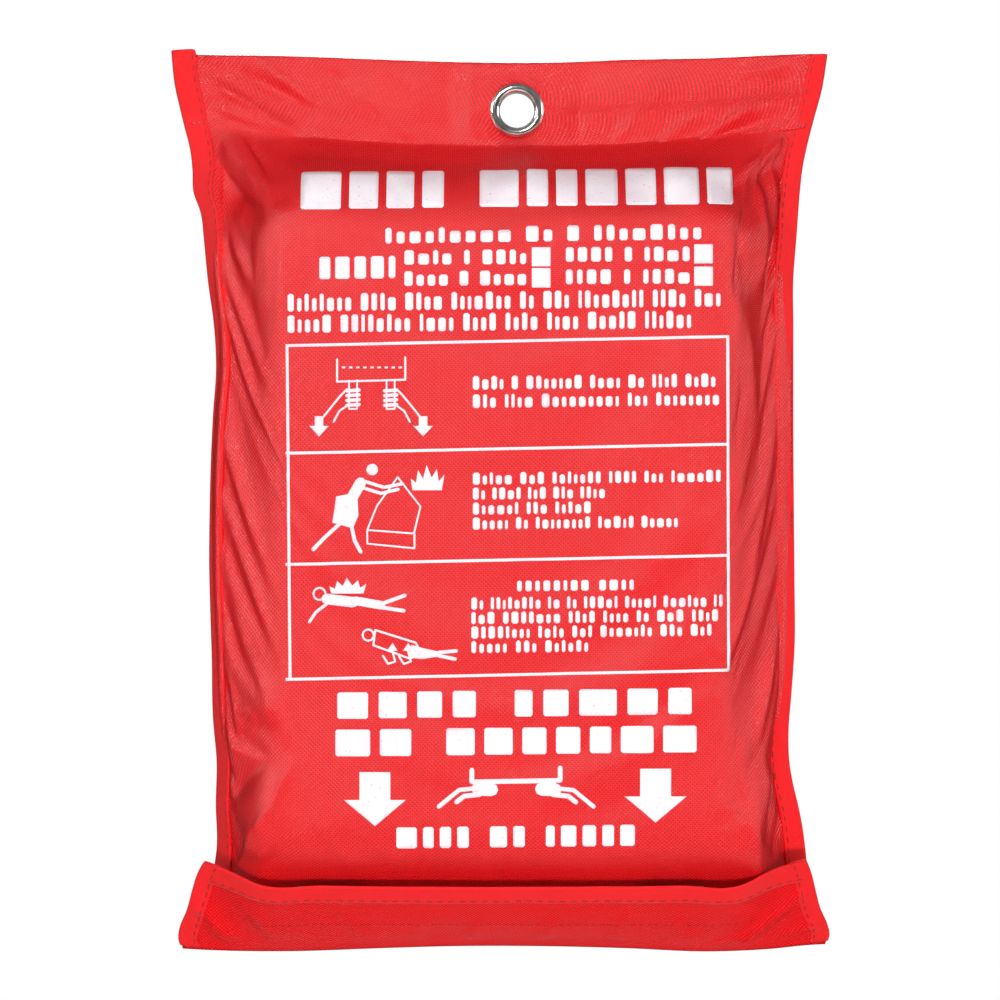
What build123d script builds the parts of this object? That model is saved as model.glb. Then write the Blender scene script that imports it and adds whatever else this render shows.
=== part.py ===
from build123d import *
import math
import os

# Fire blanket in a hanging pouch, in millimetres.
# Origin: centre of the eyelet's bore, midway through the header. +Z is up and the front faces -Y.
# "Height" is measured up from the fold at the bottom of the pouch, and "depth" forward from the wall.
# x is measured from the pouch's own middle, and the eyelet is punched a little to the right of it.

# Whole pouch
POUCH_HEIGHT = 358.0
EYELET_HEIGHT = 337.0
EYELET_OFFSET = 6.5
CLOTH = 0.7
LAYER_GAP = 0.1
WALL_CLEARANCE = 1.7
SEAM_FLANGE = 9.5
FRONT_DEPTH = 47.7
PLATEAU_HALF_WIDTH = 82.0
CORNER_RADIUS = 16.7
CORNER_SHARE = 0.8
CORNER_ANGLES = (15, 35, 55, 75)
BACK_FLAT_HALF_WIDTH = 99.0

# Header
HEADER_BOTTOM = 321.5
HEADER_BACK = 0.9
HEADER_FRONT = 4.2
HEADER_MID = (HEADER_BACK + HEADER_FRONT) / 2
HEADER_FOLD_HEIGHT = 352.0
HEADER_FULLNESS = 0.15

# Bindings
BINDING_FACE = 9.0
BINDING_SLOT = 1.7
BINDING_TOP = 360.0
BINDING_BOTTOM = 5.2

# Flap, hook and loop
FOLD_DEPTH = WALL_CLEARANCE + CLOTH / 2
FLAP_LENGTH = 45.0
FLAP_START = 1.5
FLAP_TILT = 38.0
FLAP_CORNER_TILT = 51.0
FLAP_TOP_HALF_WIDTH = 119.5
FLAP_FOLD_HALF_WIDTH = 130.5
FLAP_FLAT_HALF_WIDTH = 92.0
LOFT_OVERRUN = 2.0
HOOK_START = 19.5
STRIP_WIDTH = 16.0
STRIP_THICKNESS = 1.4
STRIP_HALF_WIDTH = 91.0
RUNNING_GAP = 0.3

# Release tapes
TAPE_WIDTH = 25.0
TAPE_THICKNESS = 1.4
TAPE_CENTRE = 68.0
TAPE_DEPTH = 6.5
TAPE_TAIL_LENGTH = 33.0
TAPE_TAIL_START = 1.6
TAPE_TOP = 36.0

# Folded blanket
BLANKET_BOTTOM = 38.5
BLANKET_TOP = 300.0
BLANKET_HALF_WIDTH = 96.0
BLANKET_BACK = 4.6
BLANKET_FRONT = 46.6
BLANKET_ROUND = 16.0
PULL_EDGE_DROP = 16.0
PULL_EDGE_THICKNESS = 1.0
PULL_EDGE_HALF_WIDTH = 95.0

# Eyelet
BORE_RADIUS = 7.0
BARREL_RADIUS = 7.5
CLOTH_HOLE_RADIUS = 7.8
CLOTH_HOLE_LENGTH = 10.0
FLANGE_RADIUS = 11.1
FLANGE_HEIGHT = 1.9
FLANGE_INNER_HEIGHT = 0.63
WASHER_RADIUS = 10.6
WASHER_THICKNESS = 0.4
ROLLED_END_RADIUS = 9.0

# Stitches
STITCH_PITCH = 4.5
STITCH_LENGTH = 3.0
STITCH_WIDTH = 0.6
STITCH_PROUD = 0.22
STITCH_LIFT = 0.03
STITCH_INSET = 1.6
BOX_STITCH_PITCH = 2.6
BOX_STITCH_LENGTH = 1.8

# Places where the pouch is measured: height, half width and the depth of the side seam
HEM_BOTTOM = 14.0
SEAM_PLACES = (
    (1.0, 129.2, HEADER_MID),
    (BINDING_BOTTOM, 127.4, 2.6),
    (HEM_BOTTOM, 123.8, 3.5),
    (42.0, 116.2, 13.0),
    (80.0, 114.6, 20.0),
    (150.0, 114.9, 21.0),
    (250.0, 116.0, 20.0),
    (298.0, 120.0, 11.0),
    (HEADER_BOTTOM, 124.8, HEADER_MID),
    (HEADER_FOLD_HEIGHT, 130.0, HEADER_MID),
    (BINDING_TOP, 131.6, HEADER_MID),
)

# Stack of layers between the flap and the hem, measured square to the flap's slope
INNER_FACE = CLOTH / 2
HOOK_FACE = INNER_FACE + LAYER_GAP / 2 + STRIP_THICKNESS
TAIL_BACK = HOOK_FACE + RUNNING_GAP
LOOP_FACE = TAIL_BACK + TAPE_THICKNESS + RUNNING_GAP
HEM_FACE = LOOP_FACE + STRIP_THICKNESS + LAYER_GAP / 2

TILT = math.radians(FLAP_TILT)
SHOULDER_HEIGHT = (FRONT_DEPTH - FOLD_DEPTH + HEM_FACE / math.sin(TILT)) * math.tan(TILT)


def place(x, depth, height):
    """The point in the row frame of a place given by depth from the wall and height above the fold."""
    return Vector(x - EYELET_OFFSET, HEADER_MID - depth, height - EYELET_HEIGHT)


def level(height):
    """The horizontal sketch plane at a height, from the pouch's middle. Its local y is the row's y."""
    return Plane(origin=(-EYELET_OFFSET, 0, height - EYELET_HEIGHT))


def upright(x):
    """The sketch plane across the pouch at x. Its local x is the row's y and its local y is up."""
    return Plane(origin=(x - EYELET_OFFSET, 0, 0), x_dir=(0, 1, 0), z_dir=(1, 0, 0))


def across(points, x):
    """Points given as (depth, height), as sketch points on upright(x)."""
    placed = [place(x, depth, height) for depth, height in points]
    return [(point.Y, point.Z) for point in placed]


def seam_at(height):
    """Half width and seam depth at any height, between the places where the pouch is measured."""
    for low, high in zip(SEAM_PLACES, SEAM_PLACES[1:]):
        if height <= high[0]:
            break
    share = (height - low[0]) / (high[0] - low[0])
    return tuple(a + share * (b - a) for a, b in zip(low[1:], high[1:]))


def sloping_depth(height):
    """Depth of the hem's front face, which runs beside the flap."""
    return FOLD_DEPTH - HEM_FACE / math.sin(TILT) + height / math.tan(TILT)


def front_depth_at(height):
    """Depth of the front panel's outer face in the middle of the pouch."""
    if height >= HEADER_BOTTOM:
        return HEADER_MID + LAYER_GAP / 2 + CLOTH + HEADER_FULLNESS
    return min(FRONT_DEPTH, sloping_depth(height))


def inset_path(points, distance):
    """The path moved sideways by distance, to its right, with mitred corners."""
    moved = []
    for index, point in enumerate(points):
        before = points[max(index - 1, 0)]
        after = points[min(index + 1, len(points) - 1)]
        arriving = Vector(point[0] - before[0], point[1] - before[1])
        leaving = Vector(after[0] - point[0], after[1] - point[1])
        if arriving.length == 0:
            arriving = leaving
        if leaving.length == 0:
            leaving = arriving
        arriving = arriving.normalized()
        leaving = leaving.normalized()
        mitre = Vector(arriving.Y + leaving.Y, -arriving.X - leaving.X).normalized()
        reach = distance / (mitre.X * arriving.Y - mitre.Y * arriving.X)
        moved.append((point[0] + mitre.X * reach, point[1] + mitre.Y * reach))
    return moved


def cloth_outline(half_path):
    """A closed outline of one cloth thickness, from the left half of its front face, seam first."""
    path = half_path + [(-x, depth) for x, depth in reversed(half_path)]
    return path + list(reversed(inset_path(path, CLOTH)))


def front_outline(height):
    """Cross-section of the front panel: seam flange, side slope, rounded corner and flat front."""
    half_width, seam_depth = seam_at(height)
    flange = seam_depth + LAYER_GAP / 2 + CLOTH
    depth = front_depth_at(height)
    rise = min(CORNER_RADIUS, CORNER_SHARE * (depth - flange))
    half_path = [(-half_width, flange), (-(half_width - SEAM_FLANGE), flange)]
    for angle in CORNER_ANGLES:
        out = CORNER_RADIUS * math.cos(math.radians(angle))
        up = rise * (1 - math.sin(math.radians(angle)))
        half_path.append((-(PLATEAU_HALF_WIDTH + out), depth - up))
    half_path.append((-PLATEAU_HALF_WIDTH, depth))
    return cloth_outline(half_path)


def back_outline(height):
    """Cross-section of the back panel: seam flange, side slope and flat back."""
    half_width, seam_depth = seam_at(height)
    flange = seam_depth - LAYER_GAP / 2
    half_path = [(-half_width, flange), (-(half_width - SEAM_FLANGE), flange)]
    half_path.append((-BACK_FLAT_HALF_WIDTH, WALL_CLEARANCE + CLOTH))
    return cloth_outline(half_path)


def binding_outline(height, side):
    """Cross-section of a side binding: a tape folded round the seam's edge."""
    half_width, seam_depth = seam_at(height)
    inner = half_width - BINDING_FACE
    edge = half_width + LAYER_GAP
    outer = edge + CLOTH
    near = BINDING_SLOT + CLOTH
    shape = [
        (inner, near),
        (outer, near),
        (outer, -near),
        (inner, -near),
        (inner, -BINDING_SLOT),
        (edge, -BINDING_SLOT),
        (edge, BINDING_SLOT),
        (inner, BINDING_SLOT),
    ]
    return [(side * x, seam_depth + depth) for x, depth in shape]


def sketch_level(outline, height):
    """A closed outline of (x, depth) points, drawn on the horizontal plane at a height."""
    with BuildSketch(level(height)) as drawn:
        with BuildLine():
            Polyline(*[(x, HEADER_MID - depth) for x, depth in outline], close=True)
        make_face()
    return drawn.sketch


def flap_point(tilt, along, square):
    """A point beside the flap as (depth, height): along it from the fold, and square to it."""
    angle = math.radians(tilt)
    depth = FOLD_DEPTH + along * math.cos(angle) - square * math.sin(angle)
    return (depth, along * math.sin(angle) + square * math.cos(angle))


FLAP_PLACES = (
    (-FLAP_FOLD_HALF_WIDTH - LOFT_OVERRUN, FLAP_CORNER_TILT),
    (-FLAP_FLAT_HALF_WIDTH, FLAP_TILT),
    (FLAP_FLAT_HALF_WIDTH, FLAP_TILT),
    (FLAP_FOLD_HALF_WIDTH + LOFT_OVERRUN, FLAP_CORNER_TILT),
)


def sketch_flap(outline, x, tilt):
    """A closed outline of (along, square) points beside the flap, drawn across the pouch at x."""
    corners = across([flap_point(tilt, along, square) for along, square in outline], x)
    with BuildSketch(upright(x)) as drawn:
        with BuildLine():
            Polyline(*corners, close=True)
        make_face()
    return drawn.sketch


def loft_flap(outline):
    """Lofts one outline of (along, square) points across the whole flap."""
    loft([sketch_flap(outline, x, tilt) for x, tilt in FLAP_PLACES], ruled=True)


def rectangle(along_from, along_to, square_from, square_to):
    """A rectangle as (along, square) points."""
    return [
        (along_from, square_from),
        (along_to, square_from),
        (along_to, square_to),
        (along_from, square_to),
    ]


def flap_half_width(height):
    """Half width of the flap, bindings not counted, which narrows from the fold to its top."""
    top = FLAP_LENGTH * math.sin(math.radians(FLAP_CORNER_TILT))
    return FLAP_FOLD_HALF_WIDTH + (FLAP_TOP_HALF_WIDTH - FLAP_FOLD_HALF_WIDTH) * height / top


def sketch_front(corners):
    """(x, height) corners, drawn on the header's middle plane as seen from the front."""
    with BuildSketch(Plane(origin=(-EYELET_OFFSET, 0, 0), x_dir=(1, 0, 0), z_dir=(0, -1, 0))) as drawn:
        with BuildLine():
            Polyline(*[(x, height - EYELET_HEIGHT) for x, height in corners], close=True)
        make_face()
    return drawn.sketch


def stitches(points, normal, pitch=STITCH_PITCH, length=STITCH_LENGTH):
    """Small blocks of thread along a polyline of points, lying on a surface with that normal."""
    places = []
    for start, end in zip(points, points[1:]):
        run = end - start
        count = max(1, round(run.length / pitch))
        for index in range(count):
            middle = start + run * ((index + 0.5) / count)
            lifted = middle + normal * (STITCH_LIFT + STITCH_PROUD / 2)
            places.append(Plane(origin=lifted, x_dir=run, z_dir=normal).location)
    with Locations(places):
        Box(length, STITCH_WIDTH, STITCH_PROUD)


os.makedirs("parts", exist_ok=True)


def save(builder, name):
    """Labels a finished piece and writes its STEP file."""
    builder.part.label = name
    export_step(builder.part, f"parts/{name}.step")


# ---------------------------------------------------------------- pouch panels
FRONT = Vector(0, -1, 0)


def cut_eyelet_hole():
    """Cuts the hole for the eyelet's barrel through the piece being built."""
    with Locations(Plane(origin=(0, 0, 0), z_dir=(0, 1, 0))):
        Cylinder(CLOTH_HOLE_RADIUS, CLOTH_HOLE_LENGTH, mode=Mode.SUBTRACT)


with BuildPart() as back_panel:
    loft([sketch_level(back_outline(height), height) for height, _, _ in SEAM_PLACES[:-1]], ruled=True)
    cut_eyelet_hole()
save(back_panel, "back_panel")

PANEL_HEIGHTS = [SHOULDER_HEIGHT + RUNNING_GAP]
PANEL_HEIGHTS += [height for height, _, _ in SEAM_PLACES if SHOULDER_HEIGHT < height < BINDING_TOP]

with BuildPart() as front_panel:
    loft([sketch_level(front_outline(height), height) for height in PANEL_HEIGHTS], ruled=True)
    cut_eyelet_hole()
save(front_panel, "front_panel")

with BuildPart() as front_hem:
    hem_heights = (HEM_BOTTOM, SHOULDER_HEIGHT)
    loft([sketch_level(front_outline(height), height) for height in hem_heights], ruled=True)
save(front_hem, "front_hem")

# ---------------------------------------------------------------- header
HEADER_EDGE = LAYER_GAP / 2

with BuildPart() as header_band:
    header_low = seam_at(HEADER_BOTTOM)[0] - HEADER_EDGE
    header_high = seam_at(POUCH_HEIGHT)[0] - HEADER_EDGE
    header_shape = sketch_front(
        [
            (-header_low, HEADER_BOTTOM),
            (header_low, HEADER_BOTTOM),
            (header_high, POUCH_HEIGHT),
            (-header_high, POUCH_HEIGHT),
        ]
    )
    extrude(header_shape, amount=(HEADER_FRONT - HEADER_BACK) / 2, both=True)
    with BuildSketch(upright(-POUCH_HEIGHT / 2)):
        with BuildLine():
            slot = [
                (HEADER_BACK + CLOTH, HEADER_BOTTOM - CLOTH),
                (HEADER_FRONT - CLOTH, HEADER_BOTTOM - CLOTH),
                (HEADER_FRONT - CLOTH, POUCH_HEIGHT - CLOTH),
                (HEADER_BACK + CLOTH, POUCH_HEIGHT - CLOTH),
            ]
            Polyline(*across(slot, 0), close=True)
        make_face()
    extrude(amount=POUCH_HEIGHT, mode=Mode.SUBTRACT)
    cut_eyelet_hole()
save(header_band, "header_band")

with BuildPart() as header_stitching:
    row = HEADER_BOTTOM + STITCH_INSET
    reach = seam_at(row)[0] - BINDING_FACE - STITCH_PITCH
    stitches([place(-reach, HEADER_FRONT, row), place(reach, HEADER_FRONT, row)], FRONT)
save(header_stitching, "header_stitching")

# ---------------------------------------------------------------- side bindings
BINDING_HEIGHTS = [height for height, _, _ in SEAM_PLACES[1:]]

for side, name in ((-1, "left_binding"), (1, "right_binding")):
    with BuildPart() as binding:
        rings = [sketch_level(binding_outline(height, side), height) for height in BINDING_HEIGHTS]
        loft(rings, ruled=True)
    save(binding, name)

    with BuildPart() as binding_stitching:
        line = []
        for height in BINDING_HEIGHTS:
            half_width, seam_depth = seam_at(height)
            row = side * (half_width - BINDING_FACE + STITCH_INSET)
            line.append(place(row, seam_depth + BINDING_SLOT + CLOTH, height))
        for start, end in zip(line, line[1:]):
            up = (end - start).normalized()
            stitches([start, end], up.cross(Vector(-1, 0, 0)).normalized())
    save(binding_stitching, f"{name}_stitching")

# ---------------------------------------------------------------- eyelet
with BuildPart() as eyelet:
    with BuildSketch(Plane.XY):
        with BuildLine():
            front_face = HEADER_MID - HEADER_FRONT - LAYER_GAP
            rim_inner = (BORE_RADIUS, front_face - FLANGE_INNER_HEIGHT)
            rim_top = ((BORE_RADIUS + FLANGE_RADIUS) / 2, front_face - FLANGE_HEIGHT)
            rim_outer = (FLANGE_RADIUS, front_face)
            back_end = HEADER_MID
            rolled = back_end - WASHER_THICKNESS
            ThreePointArc(rim_inner, rim_top, rim_outer)
            Polyline(
                rim_outer,
                (BARREL_RADIUS, front_face),
                (BARREL_RADIUS, rolled),
                (ROLLED_END_RADIUS, rolled),
                (ROLLED_END_RADIUS, back_end),
                (BORE_RADIUS, back_end),
                rim_inner,
            )
        make_face()
    revolve(axis=Axis.Y)
save(eyelet, "eyelet")

with BuildPart() as eyelet_washer:
    washer_front = HEADER_MID - 2 * WASHER_THICKNESS - LAYER_GAP / 2
    with BuildSketch(Plane(origin=(0, washer_front, 0), z_dir=(0, 1, 0))):
        Circle(WASHER_RADIUS)
        Circle(CLOTH_HOLE_RADIUS, mode=Mode.SUBTRACT)
    extrude(amount=WASHER_THICKNESS)
save(eyelet_washer, "eyelet_washer")

# ---------------------------------------------------------------- loop strip on the hem
LOOP_BACK = LOOP_FACE + STRIP_THICKNESS

with BuildPart() as loop_strip:
    with BuildSketch(upright(-STRIP_HALF_WIDTH)):
        with BuildLine():
            loop_profile = rectangle(HOOK_START, HOOK_START + STRIP_WIDTH, LOOP_FACE, LOOP_BACK)
            Polyline(*across([flap_point(FLAP_TILT, *corner) for corner in loop_profile], 0), close=True)
        make_face()
    extrude(amount=2 * STRIP_HALF_WIDTH)
save(loop_strip, "loop_strip")

HEM_INSIDE = HEM_FACE + CLOTH
SLOPE_IN = Vector(0, math.sin(TILT), math.cos(TILT))


def slope_row(along, square, reach):
    """The two ends of a straight row beside the flap's flat middle."""
    depth, height = flap_point(FLAP_TILT, along, square)
    return [place(-reach, depth, height), place(reach, depth, height)]


with BuildPart() as loop_strip_stitching:
    for along in (HOOK_START + STITCH_INSET, HOOK_START + STRIP_WIDTH - STITCH_INSET):
        stitches(slope_row(along, HEM_INSIDE, PLATEAU_HALF_WIDTH), SLOPE_IN)
save(loop_strip_stitching, "loop_strip_stitching")

# ---------------------------------------------------------------- flap
FLAP_REACH = 2 * FLAP_LENGTH


def trim_to_flap(margin_top, margin_fold):
    """Keeps what lies within the flap's slanted side edges, each moved inward by its margin."""
    low = -FLAP_REACH
    high = FLAP_REACH
    low_edge = flap_half_width(low) - margin_fold
    high_edge = flap_half_width(high) - margin_top
    outline = [(-low_edge, low), (low_edge, low), (high_edge, high), (-high_edge, high)]
    extrude(sketch_front(outline), amount=FLAP_REACH, both=True, mode=Mode.INTERSECT)


with BuildPart() as flap_panel:
    loft_flap(rectangle(FLAP_START, FLAP_LENGTH, -INNER_FACE, INNER_FACE))
    trim_to_flap(0, 0)
save(flap_panel, "flap_panel")

BINDING_INNER = INNER_FACE + LAYER_GAP / 2
BINDING_OUTER = BINDING_INNER + CLOTH
SIDE_MARGIN = BINDING_FACE + LAYER_GAP

with BuildPart() as flap_top_binding:
    folded_tape = [
        (FLAP_LENGTH - BINDING_FACE, -BINDING_OUTER),
        (FLAP_LENGTH + LAYER_GAP + CLOTH, -BINDING_OUTER),
        (FLAP_LENGTH + LAYER_GAP + CLOTH, BINDING_OUTER),
        (FLAP_LENGTH - BINDING_FACE, BINDING_OUTER),
        (FLAP_LENGTH - BINDING_FACE, BINDING_INNER),
        (FLAP_LENGTH + LAYER_GAP, BINDING_INNER),
        (FLAP_LENGTH + LAYER_GAP, -BINDING_INNER),
        (FLAP_LENGTH - BINDING_FACE, -BINDING_INNER),
    ]
    loft_flap(folded_tape)
    trim_to_flap(SIDE_MARGIN, SIDE_MARGIN)
save(flap_top_binding, "flap_top_binding")

SIDE_BINDING_START = 3.0

# The space that the flap fills inside its side bindings
with BuildPart() as flap_slot:
    loft_flap(rectangle(0, FLAP_LENGTH + 2 * CLOTH, -BINDING_INNER, BINDING_INNER))
    trim_to_flap(-LAYER_GAP, -LAYER_GAP)

for side, name in ((-1, "flap_left_binding"), (1, "flap_right_binding")):
    with BuildPart() as flap_binding:
        loft_flap(rectangle(SIDE_BINDING_START, FLAP_LENGTH + CLOTH, -BINDING_OUTER, BINDING_OUTER))
        edges = []
        for height in (-FLAP_REACH, FLAP_REACH):
            edge = flap_half_width(height)
            edges.append((side * (edge - BINDING_FACE), side * (edge + LAYER_GAP + CLOTH), height))
        (low_in, low_out, low), (high_in, high_out, high) = edges
        outline = [(low_in, low), (low_out, low), (high_out, high), (high_in, high)]
        extrude(sketch_front(outline), amount=FLAP_REACH, both=True, mode=Mode.INTERSECT)
        add(flap_slot.part, mode=Mode.SUBTRACT)
    save(flap_binding, name)


def flap_surface(x, along, square):
    """A point on or beside the flap at any x, between the places where its tilt is set."""
    for low, high in zip(FLAP_PLACES, FLAP_PLACES[1:]):
        if x <= high[0]:
            break
    share = (x - low[0]) / (high[0] - low[0])
    ends = [flap_point(tilt, along, square) for _, tilt in (low, high)]
    depth, height = (a + share * (b - a) for a, b in zip(*ends))
    return place(x, depth, height)


def flap_row(places):
    """Stitches on the flap's outer face through places given as (x, along)."""
    for start, end in zip(places, places[1:]):
        line = [flap_surface(x, along, -BINDING_OUTER) for x, along in (start, end)]
        middle_x = (start[0] + end[0]) / 2
        up = flap_surface(middle_x, FLAP_LENGTH, 0) - flap_surface(middle_x, FLAP_START, 0)
        run = line[1] - line[0]
        normal = run.cross(up).normalized()
        if normal.Y > 0:
            normal = normal * -1
        stitches(line, normal)


with BuildPart() as flap_top_binding_stitching:
    row = FLAP_LENGTH - BINDING_FACE + STITCH_INSET
    reach = FLAP_TOP_HALF_WIDTH - BINDING_FACE - STITCH_INSET
    flap_row([(-reach, row), (-FLAP_FLAT_HALF_WIDTH, row), (FLAP_FLAT_HALF_WIDTH, row), (reach, row)])
save(flap_top_binding_stitching, "flap_top_binding_stitching")

for side, name in ((-1, "flap_left_binding_stitching"), (1, "flap_right_binding_stitching")):
    with BuildPart() as flap_side_stitching:
        column = []
        for along in (2 * SIDE_BINDING_START, FLAP_LENGTH - STITCH_INSET):
            height = flap_surface(FLAP_TOP_HALF_WIDTH, along, 0).Z + EYELET_HEIGHT
            column.append((side * (flap_half_width(height) - BINDING_FACE + STITCH_INSET), along))
        flap_row(column)
    save(flap_side_stitching, name)

with BuildPart() as hook_strip:
    with BuildSketch(upright(-STRIP_HALF_WIDTH)):
        with BuildLine():
            hook_back = INNER_FACE + LAYER_GAP / 2
            hook_profile = rectangle(HOOK_START, HOOK_START + STRIP_WIDTH, hook_back, HOOK_FACE)
            Polyline(*across([flap_point(FLAP_TILT, *corner) for corner in hook_profile], 0), close=True)
        make_face()
    extrude(amount=2 * STRIP_HALF_WIDTH)
save(hook_strip, "hook_strip")

with BuildPart() as hook_strip_stitching:
    stitches(slope_row(HOOK_START + STITCH_INSET, -INNER_FACE, STRIP_HALF_WIDTH), SLOPE_IN * -1)
save(hook_strip_stitching, "hook_strip_stitching")

# ---------------------------------------------------------------- folded blanket
with BuildPart() as folded_blanket:
    with BuildSketch(level(BLANKET_BOTTOM)):
        with Locations((0, HEADER_MID - (BLANKET_BACK + BLANKET_FRONT) / 2)):
            Rectangle(2 * BLANKET_HALF_WIDTH, BLANKET_FRONT - BLANKET_BACK)
    extrude(amount=BLANKET_TOP - BLANKET_BOTTOM)
    front_edges = folded_blanket.faces().sort_by(Axis.Y)[0].edges()
    fillet(front_edges, radius=BLANKET_ROUND)
save(folded_blanket, "folded_blanket")

with BuildPart() as blanket_pull_edge:
    with BuildSketch(level(BLANKET_BOTTOM - PULL_EDGE_DROP)):
        with Locations((0, HEADER_MID - BLANKET_BACK - PULL_EDGE_THICKNESS / 2)):
            Rectangle(2 * PULL_EDGE_HALF_WIDTH, PULL_EDGE_THICKNESS)
    extrude(amount=PULL_EDGE_DROP)
save(blanket_pull_edge, "blanket_pull_edge")

with BuildPart() as pull_edge_stitching:
    row = BLANKET_BOTTOM - PULL_EDGE_DROP + STITCH_INSET
    front_face = BLANKET_BACK + PULL_EDGE_THICKNESS
    inner_reach = TAPE_CENTRE - TAPE_WIDTH / 2 - STITCH_PITCH
    stitches([place(-inner_reach, front_face, row), place(inner_reach, front_face, row)], FRONT)
save(pull_edge_stitching, "pull_edge_stitching")

# ---------------------------------------------------------------- release tapes
TAIL_MIDDLE = TAIL_BACK + TAPE_THICKNESS / 2
TAPE_TURN_HEIGHT = (TAPE_DEPTH - FOLD_DEPTH + TAIL_MIDDLE / math.sin(TILT)) * math.tan(TILT)
TAIL_ALONG = (TAPE_DEPTH - FOLD_DEPTH) * math.cos(TILT) + TAPE_TURN_HEIGHT * math.sin(TILT)
BOX_STITCH_HALF_WIDTH = TAPE_WIDTH / 2 - STITCH_INSET
BOX_STITCH_LOW = BLANKET_BOTTOM - PULL_EDGE_DROP + STITCH_INSET
BOX_STITCH_HIGH = TAPE_TOP - STITCH_INSET

for side, name in ((-1, "left"), (1, "right")):
    with BuildPart() as tape_root:
        with BuildSketch(level(TAPE_TURN_HEIGHT + TAPE_TAIL_START / 2)):
            with Locations((side * TAPE_CENTRE, HEADER_MID - TAPE_DEPTH)):
                Rectangle(TAPE_WIDTH, TAPE_THICKNESS)
        extrude(amount=TAPE_TOP - TAPE_TURN_HEIGHT - TAPE_TAIL_START / 2)
    save(tape_root, f"{name}_tape_root")

    with BuildPart() as tape_stitching:
        left_side = side * TAPE_CENTRE - BOX_STITCH_HALF_WIDTH
        right_side = side * TAPE_CENTRE + BOX_STITCH_HALF_WIDTH
        tape_face = TAPE_DEPTH + TAPE_THICKNESS / 2
        low_left = place(left_side, tape_face, BOX_STITCH_LOW)
        low_right = place(right_side, tape_face, BOX_STITCH_LOW)
        high_left = place(left_side, tape_face, BOX_STITCH_HIGH)
        high_right = place(right_side, tape_face, BOX_STITCH_HIGH)
        for line in (
            [low_left, low_right, high_right, high_left, low_left],
            [low_left, high_right],
            [low_right, high_left],
        ):
            stitches(line, FRONT, BOX_STITCH_PITCH, BOX_STITCH_LENGTH)
    save(tape_stitching, f"{name}_tape_stitching")

    with BuildPart() as tape_tail:
        with BuildSketch(upright(side * TAPE_CENTRE - TAPE_WIDTH / 2)):
            with BuildLine():
                tail_profile = rectangle(
                    TAIL_ALONG + TAPE_TAIL_START,
                    TAIL_ALONG + TAPE_TAIL_LENGTH,
                    TAIL_BACK,
                    TAIL_BACK + TAPE_THICKNESS,
                )
                Polyline(*across([flap_point(FLAP_TILT, *corner) for corner in tail_profile], 0), close=True)
            make_face()
        extrude(amount=TAPE_WIDTH)
    save(tape_tail, f"{name}_tape_tail")
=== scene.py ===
import math
import random

import bmesh
import bpy
import numpy as np
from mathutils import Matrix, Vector
from mathutils.bvhtree import BVHTree


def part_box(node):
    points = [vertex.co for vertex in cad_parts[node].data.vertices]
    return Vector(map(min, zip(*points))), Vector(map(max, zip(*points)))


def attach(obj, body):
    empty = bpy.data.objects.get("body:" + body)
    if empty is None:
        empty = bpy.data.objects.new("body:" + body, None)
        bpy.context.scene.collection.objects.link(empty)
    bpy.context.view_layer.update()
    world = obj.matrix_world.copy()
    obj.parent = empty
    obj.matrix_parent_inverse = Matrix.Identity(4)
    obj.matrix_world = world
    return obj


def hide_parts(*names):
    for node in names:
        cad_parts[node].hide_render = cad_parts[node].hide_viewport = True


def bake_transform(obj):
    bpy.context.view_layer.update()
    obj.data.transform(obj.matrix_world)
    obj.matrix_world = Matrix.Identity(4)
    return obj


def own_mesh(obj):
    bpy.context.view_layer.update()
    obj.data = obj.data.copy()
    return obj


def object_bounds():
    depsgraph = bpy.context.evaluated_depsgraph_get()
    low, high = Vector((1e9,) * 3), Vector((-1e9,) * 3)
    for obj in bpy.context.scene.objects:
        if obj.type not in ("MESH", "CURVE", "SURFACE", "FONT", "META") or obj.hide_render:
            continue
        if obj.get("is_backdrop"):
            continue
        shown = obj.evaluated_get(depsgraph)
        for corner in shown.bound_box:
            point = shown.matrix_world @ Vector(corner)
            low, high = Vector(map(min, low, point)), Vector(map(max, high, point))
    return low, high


# Fire blanket in a hanging pouch. The places below are in millimetres and are given as
# (x, depth, height): x from the pouch's own middle, depth forward from the wall, and
# height above the fold at the bottom. to_row() turns them into the row frame, in metres.

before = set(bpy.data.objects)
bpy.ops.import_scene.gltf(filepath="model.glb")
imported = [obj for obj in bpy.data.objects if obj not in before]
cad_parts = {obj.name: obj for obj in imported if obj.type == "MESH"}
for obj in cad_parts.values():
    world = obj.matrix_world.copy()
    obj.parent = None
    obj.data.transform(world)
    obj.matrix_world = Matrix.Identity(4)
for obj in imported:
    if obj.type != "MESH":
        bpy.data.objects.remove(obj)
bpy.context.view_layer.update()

MM = 0.001
EYELET_OFFSET = 6.5
EYELET_HEIGHT = 337.0
HEADER_MID = 2.55
CLOTH = 0.5
SEED = 11
random.seed(SEED)
noise_table = np.random.default_rng(SEED).random((64, 64))


# ---------------------------------------------------------------- curves and fields
def smooth(*points):
    """A smooth curve through (place, value) points, which also takes arrays of places."""
    places, values = np.array(points, float).T
    slopes = np.gradient(values, places)

    def at(place):
        p = np.clip(place, places[0], places[-1])
        i = np.clip(np.searchsorted(places, p, side="right") - 1, 0, len(places) - 2)
        span = places[i + 1] - places[i]
        t = (p - places[i]) / span
        rise = (2 * t**3 - 3 * t**2 + 1) * values[i] + (3 * t**2 - 2 * t**3) * values[i + 1]
        bend = (t**3 - 2 * t**2 + t) * slopes[i] + (t**3 - t**2) * slopes[i + 1]
        return rise + span * bend

    return at


def ramp(value, low, high):
    """0 below low, 1 above high, and a smooth step in between."""
    t = np.clip((value - low) / (high - low), 0, 1)
    return t * t * (3 - 2 * t)


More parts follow.
